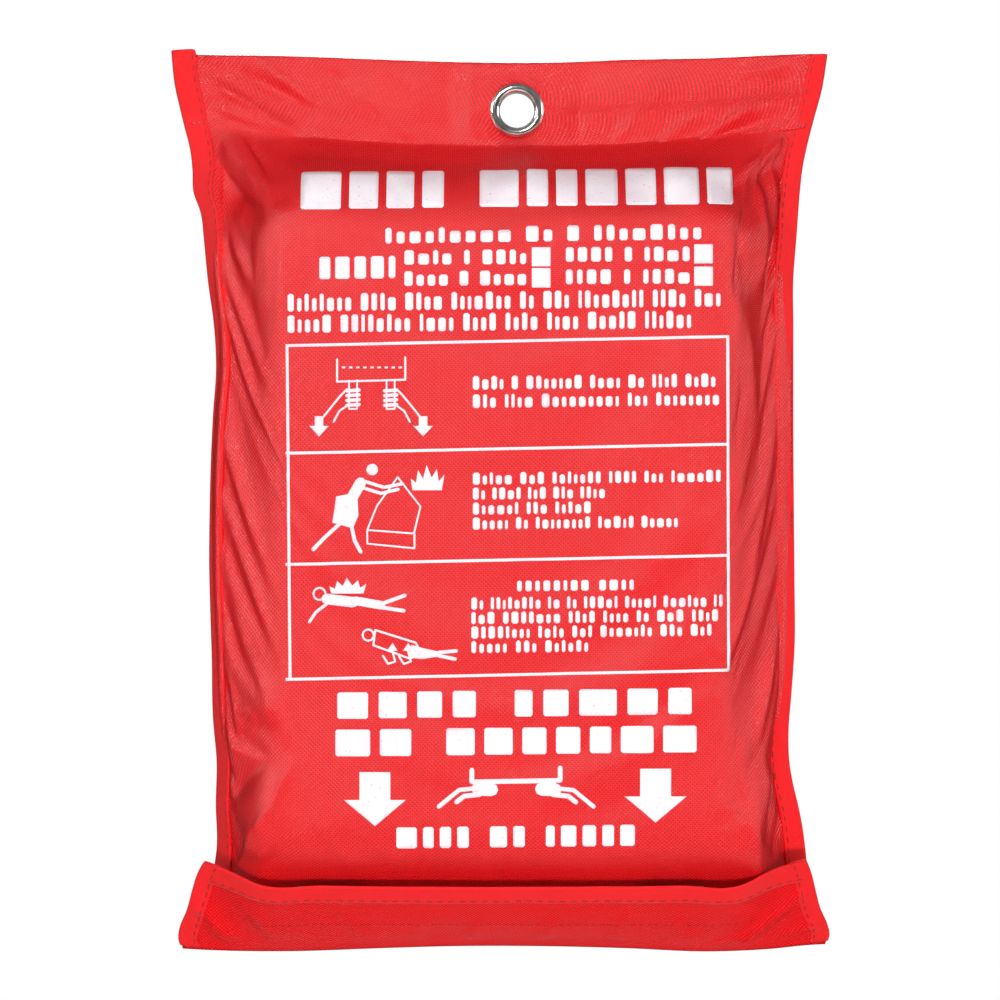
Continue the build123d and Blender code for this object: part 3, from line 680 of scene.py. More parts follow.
def header_points():
    """The header's front from its seam up, over the top edge, and down its back."""
    shares = np.linspace(0, 1, 180)
    middle, half = (HEADER_FRONT + HEADER_BACK) / 2, (HEADER_FRONT - HEADER_BACK) / 2
    lip = ((0.0, -1.0), (-0.012, 0.3), (0.012, 0.75), (0.05, 0.35))
    profile = [(level, HEADER_FRONT + out) for level, out in lip]
    profile += [(level, HEADER_FRONT) for level in np.linspace(0.085, 0.96, 22)]
    for turn in np.radians((30, 60, 90, 120, 150)):
        profile.append((0.965 + 0.035 * np.sin(turn), middle + half * np.cos(turn)))
    profile += [(level, HEADER_BACK) for level in np.linspace(0.96, 0.0, 22)]
    left, right = ([seam(h, side)[0] for h in HEADER_LEVELS] for side in (-1, 1))
    rows = []
    for level, depth in profile:
        rough_height = HEADER_LEVELS[0] + (HEADER_LEVELS[-1] - HEADER_LEVELS[0]) * level
        start, end = (np.interp(rough_height, HEADER_LEVELS, edge) for edge in (left, right))
        x = start * (1 - shares) + end * shares
        low = header_low(x) if depth > HEADER_MID else HEADER_BACK_LOW
        height = low + level * (header_high(x) - low)
        rows.append(to_row(x, depth + header_waves(x, height), height))
    return np.array(rows)


header = sheet_object("header_cloth", punched(header_points()), HEADER_CLOTH, CLOTH, offset=-1.0)
bm = bmesh.new()
bm.from_mesh(header.data)
in_hole = [f for f in bm.faces if f.calc_center_median().xz.length < HOLE_CUT * MM]
bmesh.ops.delete(bm, geom=in_hole, context="FACES")
bm.to_mesh(header.data)
bm.free()
stands_in(header, "pouch", "red_oxford_cloth", "header_band")

reach = np.linspace(-117, 115, 80)
seam_height = header_low(reach) + 1.7
row = to_row(reach, HEADER_FRONT + 0.02 + header_waves(reach, seam_height), seam_height)
header_thread = thread("header_seam_thread", stitch_row(row, [(0, -1, 0)] * len(row), 3.4), THREAD)
stands_in(header_thread, "pouch", "red_thread", "header_stitching")

# ---------------------------------------------------------------- bindings
BINDING_CLOTH = 0.45
BINDING_BULGE = 0.55
SEWN_INSET = 1.5
SEWN_LIFT = 0.24
# Half of a folded tape's section: how far along its leg, which side, and how far past the edge
HALF_SECTION = (
    (-1.0, 1.0, 0.0), (-0.72, 1.04, 0.0), (-0.4, 1.0, 0.0), (-0.12, 1.0, 0.0), (0.0, 0.96, 0.15),
    (0.0, 0.6, 0.75),
)
TAPE_SECTION = (*HALF_SECTION, (0.0, 0.0, 1.0), *((a, -side, out) for a, side, out in reversed(HALF_SECTION)))


def sewn_tape(name, node_name, body, edge, outward, forward, legs, room, flip, lift=0.0, blended=False):
    """A tape folded round an edge, with its front and back legs, and the stitches on its front.
    Everything has one row per place along the edge, in millimetres."""
    columns = []
    for along, side, out in TAPE_SECTION:
        leg = legs[0] if side > 0 else legs[1]
        past_edge = outward * (along * leg + out * BINDING_BULGE)[:, None]
        columns.append(edge + past_edge + forward * (side * room)[:, None])
    rows = np.stack(columns, axis=1)
    rows[:, :, 2] += lift
    points = to_row(*rows.transpose(2, 0, 1))
    tape = sheet_object(name, points[:, ::-1] if flip else points, RIBBON, BINDING_CLOTH, subdivide=1)
    line = edge + outward * (SEWN_INSET - legs[0])[:, None] + forward * (room + SEWN_LIFT)[:, None]
    stitches = thread(f"{name}_thread", stitch_row(to_row(*line.T), forward * (1, -1, 1)), THREAD)
    stands_in(tape, None if blended else body, "red_binding_tape", node_name)
    stands_in(stitches, body, "red_thread", f"{node_name}_stitching")
    return tape, stitches


def side_binding(side, word, top):
    """Side binding with its row of stitches, up to that height."""
    heights = np.concatenate([np.linspace(5.2, 300, 118), np.linspace(302, top, 34)])
    edge_x, edge_depth, sine, cosine, leg = seam(heights, side)
    level = np.zeros_like(sine)
    ease = 0.35 * soft_noise(heights, 7.0 * side, 9.0, 9)
    room = binding_room(heights) + 0.12 * soft_noise(heights, 3.0 * side, 14.0, 10)
    slant = np.clip((heights - top + 6) / 6.0, 0, None)[:, None] * np.linspace(1.1, -0.6, len(TAPE_SECTION))
    return sewn_tape(
        f"{word}_side_tape", f"{word}_binding", "pouch", np.stack([edge_x, edge_depth, heights], -1),
        np.stack([side * cosine, -sine, level], -1), np.stack([side * sine, cosine, level], -1),
        (leg + ease, leg + 0.6 - ease), room, side > 0, lift=slant if side < 0 else 0.0,
    )


left_tape, left_thread = side_binding(-1, "left", 360.6)
right_tape, right_thread = side_binding(1, "right", 359.6)

# ---------------------------------------------------------------- flap
flap_left = smooth(
    (-4, -127.6), (0, -128.4), (4, -129.4), (11, -128.8), (21, -125.6), (31, -123.2), (41, -120.2),
    (46, -117.8),
)
flap_right = smooth(
    (-4, 129.6), (0, 131.0), (4, 132.0), (11, 131.0), (21, 127.8), (31, 125.6), (41, 123.2), (46, 121.4)
)
flap_tilt = smooth(
    (-128, 56), (-118, 54), (-108, 47), (-97, 38.6), (-70, 37.4), (0, 36.6), (70, 37.4), (97, 38.6),
    (108, 48), (120, 55), (128, 57),
)
fold_wave = smooth(
    (-132, 1.0), (-118, 0.2), (-84, -0.3), (-48, 0.9), (-20, 1.7), (24, 1.6), (50, 0.9), (84, -0.4),
    (108, 0.6), (124, 2.2), (132, 2.6),
)
FLAP_LENGTH = 45.0
FLAP_BULGE = 1.4
FLAP_TILT = math.radians(38.0)
FLAP_FOLDS = (
    (92, 6, 122, 32, 2.0, 1.7), (100, 4, 124, 22, 2.2, -1.3), (84, 8, 108, 36, 3.4, -1.2),
    (112, 3, 127, 15, 2.0, 1.2), (-122, 27, -106, 3, 3.2, 1.7), (-112, 32, -96, 8, 4.0, -1.5),
    (-100, 30, -90, 10, 4.0, 0.7), (-60, 26, -54, 2, 3.4, 0.5), (-30, 28, -34, 4, 3.2, 0.4),
    (-8, 24, -14, 2, 3.4, 0.5), (22, 26, 16, 2, 4.0, 0.55), (50, 28, 46, 4, 3.4, 0.45),
    (70, 26, 76, 4, 3.6, 0.5),
)


def flap_line(x, along, square):
    """(x, depth, height) of places on the flap: along it from the fold, and square to it, inward
    from its outer side. The folds stand out, and lie still under the bindings' outer edges."""
    calm = ramp(along, 4, 12) * (1 - 0.7 * ramp(along, 34, 44))
    relief = 1.5 * creases(x, along, FLAP_FOLDS) + 0.4 * soft_noise(x, along, 20.0, 12)
    tilt = np.radians(flap_tilt(x) + (along / FLAP_LENGTH - 0.5) * 15.0)
    lean = np.radians(flap_tilt(x))
    bulge = np.sin(np.pi * np.clip(along / FLAP_LENGTH, 0, 1)) * FLAP_BULGE
    inward = square - np.maximum(relief, -0.4) * calm - bulge
    depth = BACK_DEPTH + along * np.cos(lean) - inward * np.sin(tilt)
    height = fold_wave(x) * (1 - ramp(along, 0, 30)) + along * np.sin(lean) + inward * np.cos(tilt)
    return np.stack([x, depth, height], -1)


def flap_sheet():
    """The flap's points, from the back of the pouch round the fold and up to its free edge."""
    shares = np.linspace(0, 1, 170)
    rows = []
    for along in [-9.0, -6.5, -4.2, -2.4] + list(np.linspace(-1.2, FLAP_LENGTH, 34)):
        left, right = flap_left(max(along, 0)) + SEAM_INSET, flap_right(max(along, 0)) - SEAM_INSET
        x = left * (1 - shares) + right * shares
        if along < 1.0:
            turn = np.clip((along + 2.4) / 3.4, 0, 1)
            height = fold_wave(x) + 0.2 - along * (1 - turn) - 0.3 * turn
            rows.append(to_row(x, BACK_DEPTH - 0.1 + 0.9 * turn, height))
        else:
            rows.append(to_row(*flap_line(x, np.full_like(x, along), 0.0).T))
    return np.array(rows)


flap = sheet_object("flap_cloth", flap_sheet(), FLAP_CLOTH, CLOTH)
stands_in(flap, None, "red_oxford_cloth", "flap_panel")


def flap_binding(word, x, along, front_leg, inward_x, inward_along, blended):
    """Tape folded round one edge of the flap, with stitches on its outer face."""
    edge = flap_line(x, along, 0.0)
    outward = unit(edge - flap_line(x + inward_x, along + inward_along, 0.0))
    forward = np.cross(np.gradient(edge, axis=0), outward)
    forward = unit(forward * np.sign(forward[:, 1])[:, None])
    room = 0.62 + 0.1 * soft_noise(x, along, 12.0, 13)
    leg = front_leg + 0.3 * soft_noise(x + along, 2.0, 11.0, 14)
    name, node_name = f"flap_{word}_tape", f"flap_{word}_binding"
    return sewn_tape(
        name, node_name, "flap", edge, outward, forward, (leg, leg), room, word != "left", blended=blended
    )


places = np.linspace(FLAP_LENGTH + 0.6, 2.0, 30)
flap_left_tape, flap_left_thread = flap_binding(
    "left", flap_left(places) + SEAM_INSET, places, 6.9, 5.0, 0.0, True
)
flap_right_tape, flap_right_thread = flap_binding(
    "right", flap_right(places) - SEAM_INSET, places, 6.9, -5.0, 0.0, True
)
top_x = np.linspace(flap_left(FLAP_LENGTH) + 2.2, flap_right(FLAP_LENGTH) - 1.0, 120)
top_places = FLAP_LENGTH - 1.2 * ramp(np.abs(top_x), 110, 124)
flap_top_tape, flap_top_thread = flap_binding("top", top_x, top_places, 8.6, 0.0, -5.0, False)
for piece in (flap, flap_left_tape, flap_right_tape):
    tuple(to_row(0, 2.4, 0))
    tuple(to_row(0, 7.0, 0))
    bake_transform(piece)

reach = np.linspace(-104, 102, 70)
row = to_row(*flap_line(reach, np.full_like(reach, 20.5), -0.3).T)
hook_row = thread("hook_seam_thread", stitch_row(row, [(0, -0.6, -0.8)] * len(row), 3.2), THREAD, 0.45, 0.3)
stands_in(hook_row, "flap", "red_thread", "hook_strip_stitching")

# ---------------------------------------------------------------- hook and loop
STRIP_X = np.linspace(-91, 91, 90)
STRIP_PLACES = np.linspace(19.5, 35.5, 8)
STRIP_THICK = 1.1
HEM_GAP = 4.5
lean_cosine, lean_sine = math.cos(FLAP_TILT), math.sin(FLAP_TILT)

hook_points = [to_row(*flap_line(STRIP_X, np.full_like(STRIP_X, s), STRIP_THICK).T) for s in STRIP_PLACES]
hook = sheet_object("hook_pile_strip", np.array(hook_points), PILE, STRIP_THICK)
stands_in(hook, "flap", "hook_and_loop", "hook_strip")

loop_points = []
for s in STRIP_PLACES:
    waves = 0.15 * soft_noise(STRIP_X, s, 14.0, 15)
    depth = BACK_DEPTH + s * lean_cosine - HEM_GAP * lean_sine + waves
    loop_points.append(to_row(STRIP_X, depth, s * lean_sine + HEM_GAP * lean_cosine))
loop = sheet_object("loop_pile_strip", np.array(loop_points), PILE, STRIP_THICK)
stands_in(loop, "pouch", "hook_and_loop", "loop_strip")
ups = np.array([(0, -lean_sine, -lean_cosine)] * len(STRIP_X))
loop_rows = [place for row in (0, -1) for place in stitch_row(loop_points[row] + ups * 0.6 * MM, ups, 3.4)]
loop_thread = thread("loop_strip_thread", loop_rows, THREAD)
stands_in(loop_thread, "pouch", "red_thread", "loop_strip_stitching")

# ---------------------------------------------------------------- folded blanket
BLANKET_LOW, BLANKET_HIGH = 38.5, 300.0
BLANKET_HALF = 95.6
BLANKET_BACK, BLANKET_FRONT = 4.6, 46.6
LEAVES = 14
LEAF_SIDES, LEAF_RINGS = 44, 40


def folded_stack():
    """The blanket's folded leaves, one on another, rounded at their folds and a little uneven."""
    verts, faces, uvs = [], [], []
    thick = (BLANKET_FRONT - BLANKET_BACK) / LEAVES
    turns = 2 * np.pi * np.arange(LEAF_SIDES) / LEAF_SIDES
    wide, deep = (np.sign(f) * np.abs(f) ** p for f, p in ((np.cos(turns), 0.16), (np.sin(turns), 0.55)))
    for leaf in range(LEAVES):
        back_depth = BLANKET_BACK + leaf * thick
        fullness = np.clip((back_depth + thick - 29.5) / 17.4, 0, 1)
        inset = 15.0 * (1 - math.sqrt(1 - fullness**2))
        half = BLANKET_HALF - inset - random.uniform(0.0, 1.6)
        low = BLANKET_LOW + random.uniform(0.0, 1.6) + 1.15 * inset
        high = BLANKET_HIGH - random.uniform(0.0, 2.5) - 1.1 * inset
        shift = random.uniform(-0.6, 0.6)
        faces += [face[::-1] for face in tube_faces(len(verts), LEAF_RINGS, LEAF_SIDES)]
        for ring in range(LEAF_RINGS):
            end = min(ring, LEAF_RINGS - 1 - ring)
            full = math.sqrt(1 - max(0.0, 1 - end / 2.0) ** 2)
            h = low + (high - low) * ring / (LEAF_RINGS - 1)
            lump = 0.5 * soft_noise(wide * half, h, 22.0, leaf)
            x = shift + wide * (half - 1.2 * (1 - full)) + 0.3 * lump
            depth = back_depth + thick / 2 + deep * thick * 0.48 * max(full, 0.12) + 0.35 * lump
            verts.extend(to_row(x, np.clip(depth, 4.7, 46.0), h))
            uvs.extend(zip(wide * half, [h] * LEAF_SIDES))
    return new_object("blanket_leaves", verts, faces, GLASS, uvs)


stack = folded_stack()
stands_in(stack, "blanket", "glass_cloth", "folded_blanket")

EDGE_DEPTH = 5.15
EDGE_WAVE = 0.22
EDGE_WAVE_LENGTH = 9.0
SEWN_LOW = 24.1

edge_x = np.linspace(-95, 95, 80)
edge_rows = []
for h in np.linspace(22.5, 44.0, 12):
    waves = EDGE_WAVE * np.cos(edge_x / EDGE_WAVE_LENGTH) * ramp(40 - h, 0, 16)
    edge_rows.append(to_row(edge_x, EDGE_DEPTH + waves, h))
pull_edge = sheet_object("pull_edge_cloth", np.array(edge_rows), GLASS, 0.9)
stands_in(pull_edge, "blanket", "glass_cloth", "blanket_pull_edge")
reach = np.linspace(-51, 51, 40)
row = to_row(reach, EDGE_DEPTH + 0.53 + 0.9 * EDGE_WAVE * np.cos(reach / EDGE_WAVE_LENGTH), SEWN_LOW)
edge_thread = thread("pull_edge_thread", stitch_row(row, [(0, -1, 0)] * len(row)), WHITE_THREAD)
stands_in(edge_thread, "blanket", "white_thread", "pull_edge_stitching")

# ---------------------------------------------------------------- release tapes
TAPE_CENTRE = 68.0
TAPE_HALF = 12.5
TAPE_DEPTH = 6.5
TAPE_TOP = 36.0
TURN_HEIGHT = 7.03
TURN_REACH = 1.3
TAIL_LENGTH = 32.5
SEWN_HIGH = 34.4
SEWN_HALF = 10.9


def tape_path():
    """(depth, height) down the sewn part of a release tape, round its turn and up its tail."""
    out = np.array((lean_cosine, lean_sine))
    above = np.array((TAPE_DEPTH, TURN_HEIGHT + 1.6))
    below = np.array((TAPE_DEPTH + 0.15, TURN_HEIGHT - 0.5))
    after = np.array((TAPE_DEPTH, TURN_HEIGHT - 0.1)) + TURN_REACH * out
    path = [(TAPE_DEPTH, h) for h in np.linspace(TAPE_TOP, above[1], 14)]
    path += [(1 - t) ** 2 * above + 2 * t * (1 - t) * below + t * t * after for t in np.linspace(0.2, 0.8, 4)]
    path += [after + s * out for s in np.linspace(0, TAIL_LENGTH - TURN_REACH, 16)]
    return np.array(path)


path = tape_path()
across = np.linspace(TAPE_HALF, -TAPE_HALF, 14)
for side, word in ((-1, "left"), (1, "right")):
    centre = side * TAPE_CENTRE
    web = to_row(centre + across[None, :], path[:, 0][:, None], path[:, 1][:, None])
    tape = sheet_object(f"{word}_release_tape", web, WEBBING, 1.15)
    stands_in(tape, None, "black_webbing", f"{word}_tape_root", f"{word}_tape_tail")
    start, end = to_row(0, TAPE_DEPTH + 0.3, 0), to_row(0, TAPE_DEPTH + 2.0, 0)
    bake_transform(tape)
    corners = [
        to_row(centre + way * SEWN_HALF, TAPE_DEPTH + 0.62, h)
        for way, h in ((-1, SEWN_LOW), (1, SEWN_LOW), (1, SEWN_HIGH), (-1, SEWN_HIGH))
    ]
    box_rows = []
    for a, b in ((0, 1), (1, 2), (2, 3), (3, 0), (0, 2), (1, 3)):
        box_rows += stitch_row([corners[a], corners[b]], [(0, -1, 0)] * 2, 2.6)
    sewn = thread(f"{word}_tape_box_thread", box_rows, WHITE_THREAD)
    stands_in(sewn, "blanket", "white_thread", f"{word}_tape_stitching")

# ---------------------------------------------------------------- screen print
PRINT_LIFT = 0.16
PRINT_THICK = 0.1
PRINT_CELL = 2.2
WORD_SPACE = 0.62
SHORT_MARK = 0.24


def around(x, h, radius, angle):
    return x + radius * math.cos(angle), h + radius * math.sin(angle)


class Artwork:
    """Flat white shapes, in millimetres across and up the front of the pouch."""

    def __init__(self):
        self.shapes = []

    def polygon(self, *points):
        self.shapes.append([(float(x), float(h)) for x, h in points])

    def block(self, left, low, right, high, round_off):
        """A box with cut corners."""
        r = min(round_off, (right - left) / 3, (high - low) / 3)
        self.polygon(
            (left + r, low), (right - r, low), (right, low + r), (right, high - r), (right - r, high),
            (left + r, high), (left, high - r), (left, low + r),
        )

    def line(self, width, *points):
        """A stroke of constant width through points, with round joints."""
        for (x0, h0), (x1, h1) in zip(points, points[1:]):
            turn = math.atan2(h1 - h0, x1 - x0)
            ends = ((x1, h1, turn - math.pi / 2), (x0, h0, turn + math.pi / 2))
            round_ends = [around(x, h, width / 2, a + math.pi * k / 4) for x, h, a in ends for k in range(5)]
            self.polygon(*round_ends)

    def bar(self, width, x0, h0, x1, h1):
        """A square-ended stroke."""
        run = math.hypot(x1 - x0, h1 - h0)
        nx, nh = -(h1 - h0) / run * width / 2, (x1 - x0) / run * width / 2
        self.polygon((x0 - nx, h0 - nh), (x1 - nx, h1 - nh), (x1 + nx, h1 + nh), (x0 + nx, h0 + nh))

    def disc(self, x, h, radius, sides=16):
        self.polygon(*(around(x, h, radius, 2 * math.pi * k / sides) for k in range(sides)))

    def ring(self, x, h, radius, width, sides=18):
        """A circle's outline, as a chain of boxes."""
        inner, outer = radius - width / 2, radius + width / 2
        for k in range(sides):
            a, b = 2 * math.pi * k / sides, 2 * math.pi * (k + 1) / sides
            corners = ((inner, a), (outer, a), (outer, b), (inner, b))
            self.polygon(*(around(x, h, distance, angle) for distance, angle in corners))

    def arrow(self, x, top, neck, tip, shaft, head):
        """An arrow that points down. shaft and head are half widths."""
        self.polygon(
            (x - shaft, top), (x - shaft, neck), (x - head, neck), (x, tip), (x + head, neck),
            (x + shaft, neck), (x + shaft, top),
        )

    def words(self, left, right, low, high, groups, slope=0.012, gap=0.34, tall=0.35):
        """A row of plain marks that stands for words: groups are the numbers of marks in each.
        slope lifts its right end, and tall is the share of marks as high as the first ones."""
        widths = [[random.uniform(0.62, 1.12) for _ in range(group)] for group in groups]
        total = sum(sum(group) for group in widths) + WORD_SPACE * (len(groups) - 1)
        between = gap * 0.9
        unit_width = (right - left) / (total - between)
        x = left
        for group in widths:
            for index, width in enumerate(group):
                full = index == 0 or random.random() < tall
                top = high if full else high - (high - low) * SHORT_MARK
                drop = slope * (x - left)
                wide = unit_width * (width - between)
                self.block(x, low + drop, x + wide, top + drop, min(0.7, 0.14 * (high - low)))
                x += unit_width * width
            x += unit_width * WORD_SPACE


art = Artwork()
# Title and headings
art.words(-79, 92, 295.2, 310.6, (4, 7), slope=0.014, gap=0.2, tall=1.0)
art.words(-45.5, 79, 281.6, 287.8, (9, 2, 1, 8), slope=0.014)
art.words(-71.5, -41.5, 267.6, 276.4, (5,), gap=0.3, tall=1.0)
for left, right, box_left, lows in ((-38, 10, 12.2, (273.2, 264.9)), (25.6, 74.4, 76.2, (274.4, 265.6))):
    for low in lows:
        art.words(left, right, low, low + 5.8, (4, 1, 4), slope=0.006, gap=0.32, tall=0.6)
        art.block(box_left, low - 0.6, box_left + 7.4, low + 7.0, 0.2)
art.words(-84, 86.6, 254.8, 261.8, (8, 4, 4, 7, 2, 3, 8, 4, 3))
art.words(-84, 75, 246.4, 253.4, (5, 8, 4, 4, 4, 4, 5, 6))

# Frame of three panels, with the heights of its lines at the left and at the right
FRAME_LEFT, FRAME_RIGHT = -84.2, 89.4
FRAME_LINES = ((241.4, 245.0), (199.0, 202.6), (155.2, 158.8), (109.9, 113.6))
LINE = 1.15
for at_left, at_right in FRAME_LINES:
    art.bar(LINE, FRAME_LEFT - LINE / 2, at_left, FRAME_RIGHT + LINE / 2, at_right)
art.bar(LINE, FRAME_LEFT, FRAME_LINES[0][0], FRAME_LEFT + 1.2, FRAME_LINES[3][0])
art.bar(LINE, FRAME_RIGHT, FRAME_LINES[0][1], FRAME_RIGHT + 0.4, FRAME_LINES[3][1])

# Small lines of each panel
art.words(-11, 84.6, 224.0, 229.4, (4, 1, 7, 4, 2, 4, 4))
art.words(-11, 86.0, 216.8, 222.2, (3, 4, 9, 3, 8))
panel_two = (((5, 3, 7, 4, 3, 6), 86.6), ((2, 4, 3, 3, 4), 41), ((6, 3, 5), 35.4), ((5, 2, 8, 5, 5), 69.6))
for index, (groups, right) in enumerate(panel_two):
    art.words(-11, right, 186.6 - 5.9 * index, 191.4 - 5.9 * index, groups)
art.words(6.4, 52.4, 144.6, 148.8, (8, 4), tall=1.0)
panel_three = (
    ((2, 8, 2, 2, 5, 5, 6, 2), 87.4), ((3, 7, 4, 4, 2, 3, 4), 85.6), ((8, 4, 3, 7, 3, 3), 83),
    ((5, 3, 6), 34.4),
)
for index, (groups, right) in enumerate(panel_three):
    art.words(-11.6, right, 137.4 - 5.7 * index, 142.2 - 5.7 * index, groups)

# Panel one: the pouch with its two tapes, a hand on each, and arrows
art.line(0.8, (-64.5, 236.0), (-64.5, 227.2), (-37.6, 228.0), (-37.6, 236.8))
for k in range(9):
    art.bar(0.7, -62.6 + 2.8 * k, 232.8, -61.3 + 2.8 * k, 232.85)
for x, way in ((-58.2, -1), (-43.4, 1)):
    art.line(0.7, (x - 1.6, 227.6), (x - 1.6, 216.4), (x + 1.6, 216.5), (x + 1.6, 227.8))
    for drop in (0.0, 1.9, 3.8, 5.7):
        art.line(1.35, (x - 2.4, 223.6 - drop), (x + 2.4, 223.9 - drop))
    for part in (
        ((2.4, 224.2), (4.6, 222.0), (8.4, 217.4), (11.6, 213.4)), ((2.6, 217.6), (5.4, 215.6), (7.6, 211.4))
    ):
        art.line(0.8, *((x + way * out, h) for out, h in part))
for x in (-71.6, -30.6):
    art.arrow(x, 213.6, 209.8, 205.6, 1.7, 3.9)

# Panel two: a figure lays the blanket over flames on a stove
art.disc(-50.6, 192.6, 2.3)
art.line(4.4, (-55.2, 187.4), (-60.0, 179.0))
art.polygon((-64.8, 182.0), (-56.6, 183.6), (-56.0, 174.6), (-58.2, 169.4), (-66.4, 171.6))
art.line(1.5, (-63.0, 171.6), (-69.2, 166.0), (-73.8, 161.2))
art.line(1.5, (-58.8, 170.4), (-57.6, 164.6), (-55.2, 160.2))
art.line(1.3, (-53.8, 188.0), (-46.0, 185.6), (-38.8, 187.0))
art.line(1.3, (-54.8, 185.6), (-47.2, 183.2), (-40.4, 184.8))
art.line(
    0.7, (-40.6, 189.6), (-48.8, 178.2), (-52.6, 168.8), (-34.2, 167.4), (-31.6, 178.0), (-40.6, 189.6)
)
art.line(0.7, (-52.6, 168.8), (-52.6, 163.4), (-34.0, 161.6), (-34.0, 167.4))
flame = (
    (-6.0, 0), (-6.6, 4.6), (-4.6, 3.0), (-3.8, 8.0), (-1.8, 4.6), (-0.4, 10.0), (1.6, 5.0), (3.6, 8.4),
    (4.4, 3.6), (6.6, 6.2), (5.6, 0),
)
art.polygon(*((-28.8 + x, 184.4 + h) for x, h in flame))

# Panel three: a figure lies by flames, and a figure is rolled in the blanket
art.ring(-71.4, 143.6, 2.4, 0.8)
art.line(4.2, (-68.6, 141.6), (-58.2, 140.4))
art.line(3.4, (-57.4, 141.0), (-47.2, 139.2))
art.line(1.5, (-47.2, 139.6), (-37.8, 143.0))
art.line(1.5, (-47.6, 138.4), (-38.2, 137.0))
art.line(1.2, (-67.6, 140.4), (-72.8, 136.4), (-75.4, 132.6))
art.polygon(*((-60.2 + 1.1 * x, 143.8 + 0.62 * h) for x, h in flame))
art.ring(-52.2, 127.4, 2.2, 0.8)
art.line(
    0.8, (-49.4, 129.4), (-33.4, 124.4), (-31.2, 119.6), (-36.0, 118.2), (-50.2, 123.4), (-49.4, 129.4)
)
art.polygon((-35.2, 123.6), (-30.2, 122.2), (-24.6, 121.0), (-24.2, 119.0), (-31.0, 118.0), (-36.6, 118.6))
art.line(1.4, (-24.4, 120.6), (-17.6, 121.2))
art.line(1.4, (-24.6, 119.4), (-18.0, 118.0))
for x in (-46.4, -40.2):
    art.line(0.8, (x, 119.2), (x + 2.0, 116.0), (x + 4.8, 117.0), (x + 3.6, 121.4))
    art.polygon((x + 1.6, 121.2), (x + 5.8, 121.2), (x + 3.8, 124.4))

# Lower headings, arrows and hands
art.words(-64.4, 75.2, 94.4, 104.8, (4, 5), slope=0.014, gap=0.26, tall=1.0)
art.words(-65.2, 77.2, 79.6, 90.2, (2, 7), gap=0.26, tall=1.0)
for x, top in ((-49.6, 73.4), (61.0, 74.8)):
    art.arrow(x, top, top - 11, top - 21.3, 6.1, 12.2)
art.line(1.9, (-11.4, 74.2), (-11.4, 69.6), (23.4, 70.2), (23.4, 75.0))
for x, way in ((-6.4, -1), (18.6, 1)):
    art.line(5.2, (x - 2.6, 66.8), (x + 2.8, 66.6))
    art.line(1.9, (x + way * 2.0, 64.6), (x + way * 8.0, 64.0), (x + way * 11.0, 61.6))
    art.line(1.7, (x + way * 2.4, 67.2), (x + way * 10.0, 66.4), (x + way * 18.0, 59.8))
art.words(-41.2, 52.9, 43.2, 51.6, (4, 2, 5), gap=0.28, tall=1.0)


def printed(shapes, cloth):
    """Lays flat shapes on the cloth: cuts them small, drops them onto the surface, and makes
    them thin and closed."""
    flat = bmesh.new()
    for shape in shapes:
        flat.faces.new([flat.verts.new((x, h, 0)) for x, h in shape])
    for normal, low, high in ((Vector((1, 0, 0)), -90, 95), (Vector((0, 1, 0)), 45, 318)):
        for place in np.arange(low, high, PRINT_CELL):
            everything = flat.verts[:] + flat.edges[:] + flat.faces[:]
            bmesh.ops.bisect_plane(flat, geom=everything, plane_co=normal * place, plane_no=normal)
    bmesh.ops.triangulate(flat, faces=flat.faces[:])
    solid = cloth.evaluated_get(bpy.context.evaluated_depsgraph_get()).to_mesh()
    places = [v.co.copy() for v in solid.vertices]
    tree = BVHTree.FromPolygons(places, [tuple(p.vertices) for p in solid.polygons])
    forward = Vector((0, -1, 0))
    bottoms, tops = [], []
    for v in flat.verts:
        hit, normal, _, _ = tree.ray_cast(Vector(to_row(v.co.x, 90.0, v.co.y)), -forward)
        if hit is None:
            raise RuntimeError(f"the print misses the cloth at {v.co.x:.0f}, {v.co.y:.0f}")
        if normal.dot(forward) < 0:
            normal = -normal
        bottoms.append(hit + normal * PRINT_LIFT * MM)
        tops.append(hit + normal * (PRINT_LIFT + PRINT_THICK) * MM)
    count = len(tops)
    back_faces = [tuple(v.index for v in reversed(face.verts)) for face in flat.faces]
    front_faces = [tuple(v.index + count for v in face.verts) for face in flat.faces]
    sides = []
    for loop in (loop for face in flat.faces for loop in face.loops):
        if len(loop.edge.link_faces) == 1:
            a, b = loop.vert.index, loop.link_loop_next.vert.index
            sides.append((a, b, b + count, a + count))
    flat.free()
    return new_object("white_print", bottoms + tops, front_faces + back_faces + sides, INK)


print_piece = printed(art.shapes, front)
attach(print_piece, "pouch")

# ---------------------------------------------------------------- eyelet
for name in ("eyelet", "eyelet_washer"):
    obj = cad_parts[name]
    obj.data.materials.clear()
    obj.data.materials.append(NICKEL)
    obj.data.polygons.foreach_set("use_smooth", [True] * len(obj.data.polygons))

# Each piece of the pouch gets a mesh of its own
for piece in (
    front, back, header, header_thread, left_tape, right_tape, left_thread, right_thread, loop, loop_thread,
    print_piece,
):
    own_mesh(piece)

# ---------------------------------------------------------------- camera, light and floor
VIEW_DISTANCE = 2.4
VIEW_WIDTH = 0.4
SENSOR = 36.0
VIEW_CENTRE = Vector((-0.0068, -0.010, -0.1564))
MIDDLE = Vector((0, -0.03, -0.16))
FLOOR_LEVEL = -0.95
FLOOR_HALF = 2.0

camera_data = bpy.data.cameras.new("camera")
camera_data.sensor_width = SENSOR
camera_data.lens = SENSOR * VIEW_DISTANCE / VIEW_WIDTH
camera = link_object("camera", camera_data)
camera.location = VIEW_CENTRE + Vector((0, -VIEW_DISTANCE, 0))
camera.rotation_euler = (math.pi / 2, 0, 0)
bpy.context.scene.camera = camera

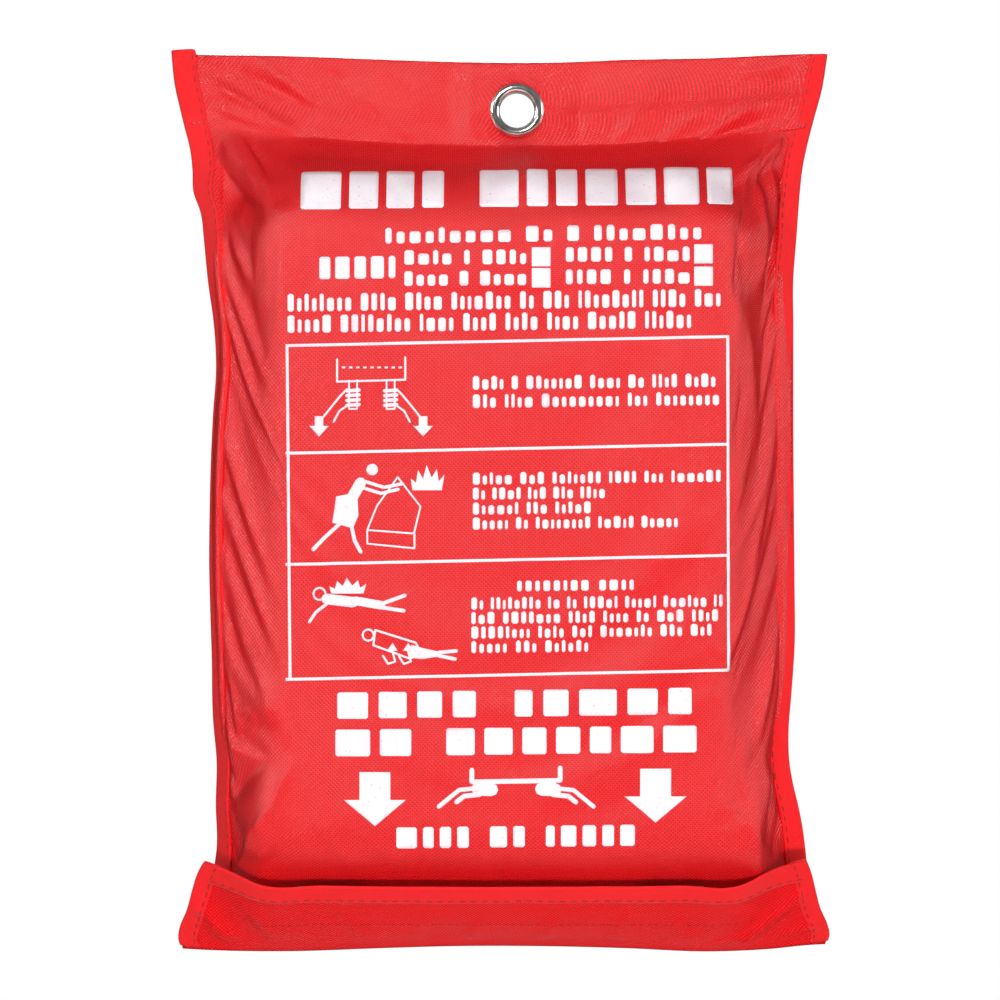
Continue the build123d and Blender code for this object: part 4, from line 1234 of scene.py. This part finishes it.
# Softboxes that look at the pouch's middle. Some give only their light, and some only their highlight.
for name, location, size, power, lights, mirrored in (
    ("fill", (0.8, -2.5, 0.3), (1.0, 0.8), 17, True, False),
    ("low", (0.15, -1.7, -0.8), (0.9, 0.2), 21, True, False),
    ("top", (0.0, -0.9, 1.0), (0.9, 0.4), 5, True, False),
    ("key_left", (-1.3, -1.5, 1.0), (0.25, 0.3), 11.5, True, False),
    ("gloss_front", (-0.6, -2.2, 0.9), (0.35, 0.3), 29, False, True),
    ("gloss_left", (-1.5, -0.75, 0.3), (0.2, 0.5), 14, False, True),
    ("gloss_right", (1.5, -0.6, 0.2), (0.2, 0.5), 14, False, True),
    ("rear", (0.3, 1.8, 0.8), (1.2, 0.9), 42, True, True),
):
    data = bpy.data.lights.new(name, "AREA")
    data.shape = "RECTANGLE"
    data.size, data.size_y = size
    data.energy = power
    light = link_object(name, data)
    light.location = location
    light.rotation_euler = (MIDDLE - Vector(location)).to_track_quat("-Z", "Y").to_euler()
    light.visible_diffuse = lights
    light.visible_glossy = mirrored

# Grey surroundings, darker at the level of the pouch, and plain white for the camera
GREY_LEVELS = ((0.0, 0.12), (0.4, 0.16), (0.46, 0.05), (0.53, 0.05), (0.62, 0.22), (0.8, 0.26), (1.0, 0.26))
world = bpy.data.worlds.new("world")
bpy.context.scene.world = world
world.use_nodes = True
tree = world.node_tree
direction = node(tree, "SeparateXYZ", node(tree, "TexCoord").outputs["Generated"])
up_share = maths(tree, "MULTIPLY_ADD", direction.outputs[2], 0.5, 0.5)
sky = ramp_node(tree, up_share, *((place, (level,) * 3) for place, level in GREY_LEVELS))
background = tree.nodes["Background"]
feed(tree, background.inputs["Color"], sky)
background.inputs["Strength"].default_value = 0.5
backdrop = node(tree, "Background", Color=(1, 1, 1, 1), Strength=1.0)
seen = node(tree, "LightPath").outputs["Is Camera Ray"]
either = node(tree, "MixShader", seen, background.outputs[0], backdrop.outputs[0])
feed(tree, tree.nodes["World Output"].inputs["Surface"], either.outputs[0])

floor_material, floor_tree = new_material("pale_floor")
floor_shader = floor_tree.nodes["Principled BSDF"]
floor_shader.inputs["Base Color"].default_value = (0.6, 0.6, 0.6, 1)
floor_shader.inputs["Roughness"].default_value = 0.9
around_floor = ((-1, -1), (1, -1), (1, 1), (-1, 1))
floor_corners = [(x * FLOOR_HALF, y * FLOOR_HALF, FLOOR_LEVEL) for x, y in around_floor]
new_object("floor", floor_corners, [(0, 1, 2, 3)], floor_material)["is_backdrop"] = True
bpy.context.scene.view_settings.view_transform = "Standard"

low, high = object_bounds()
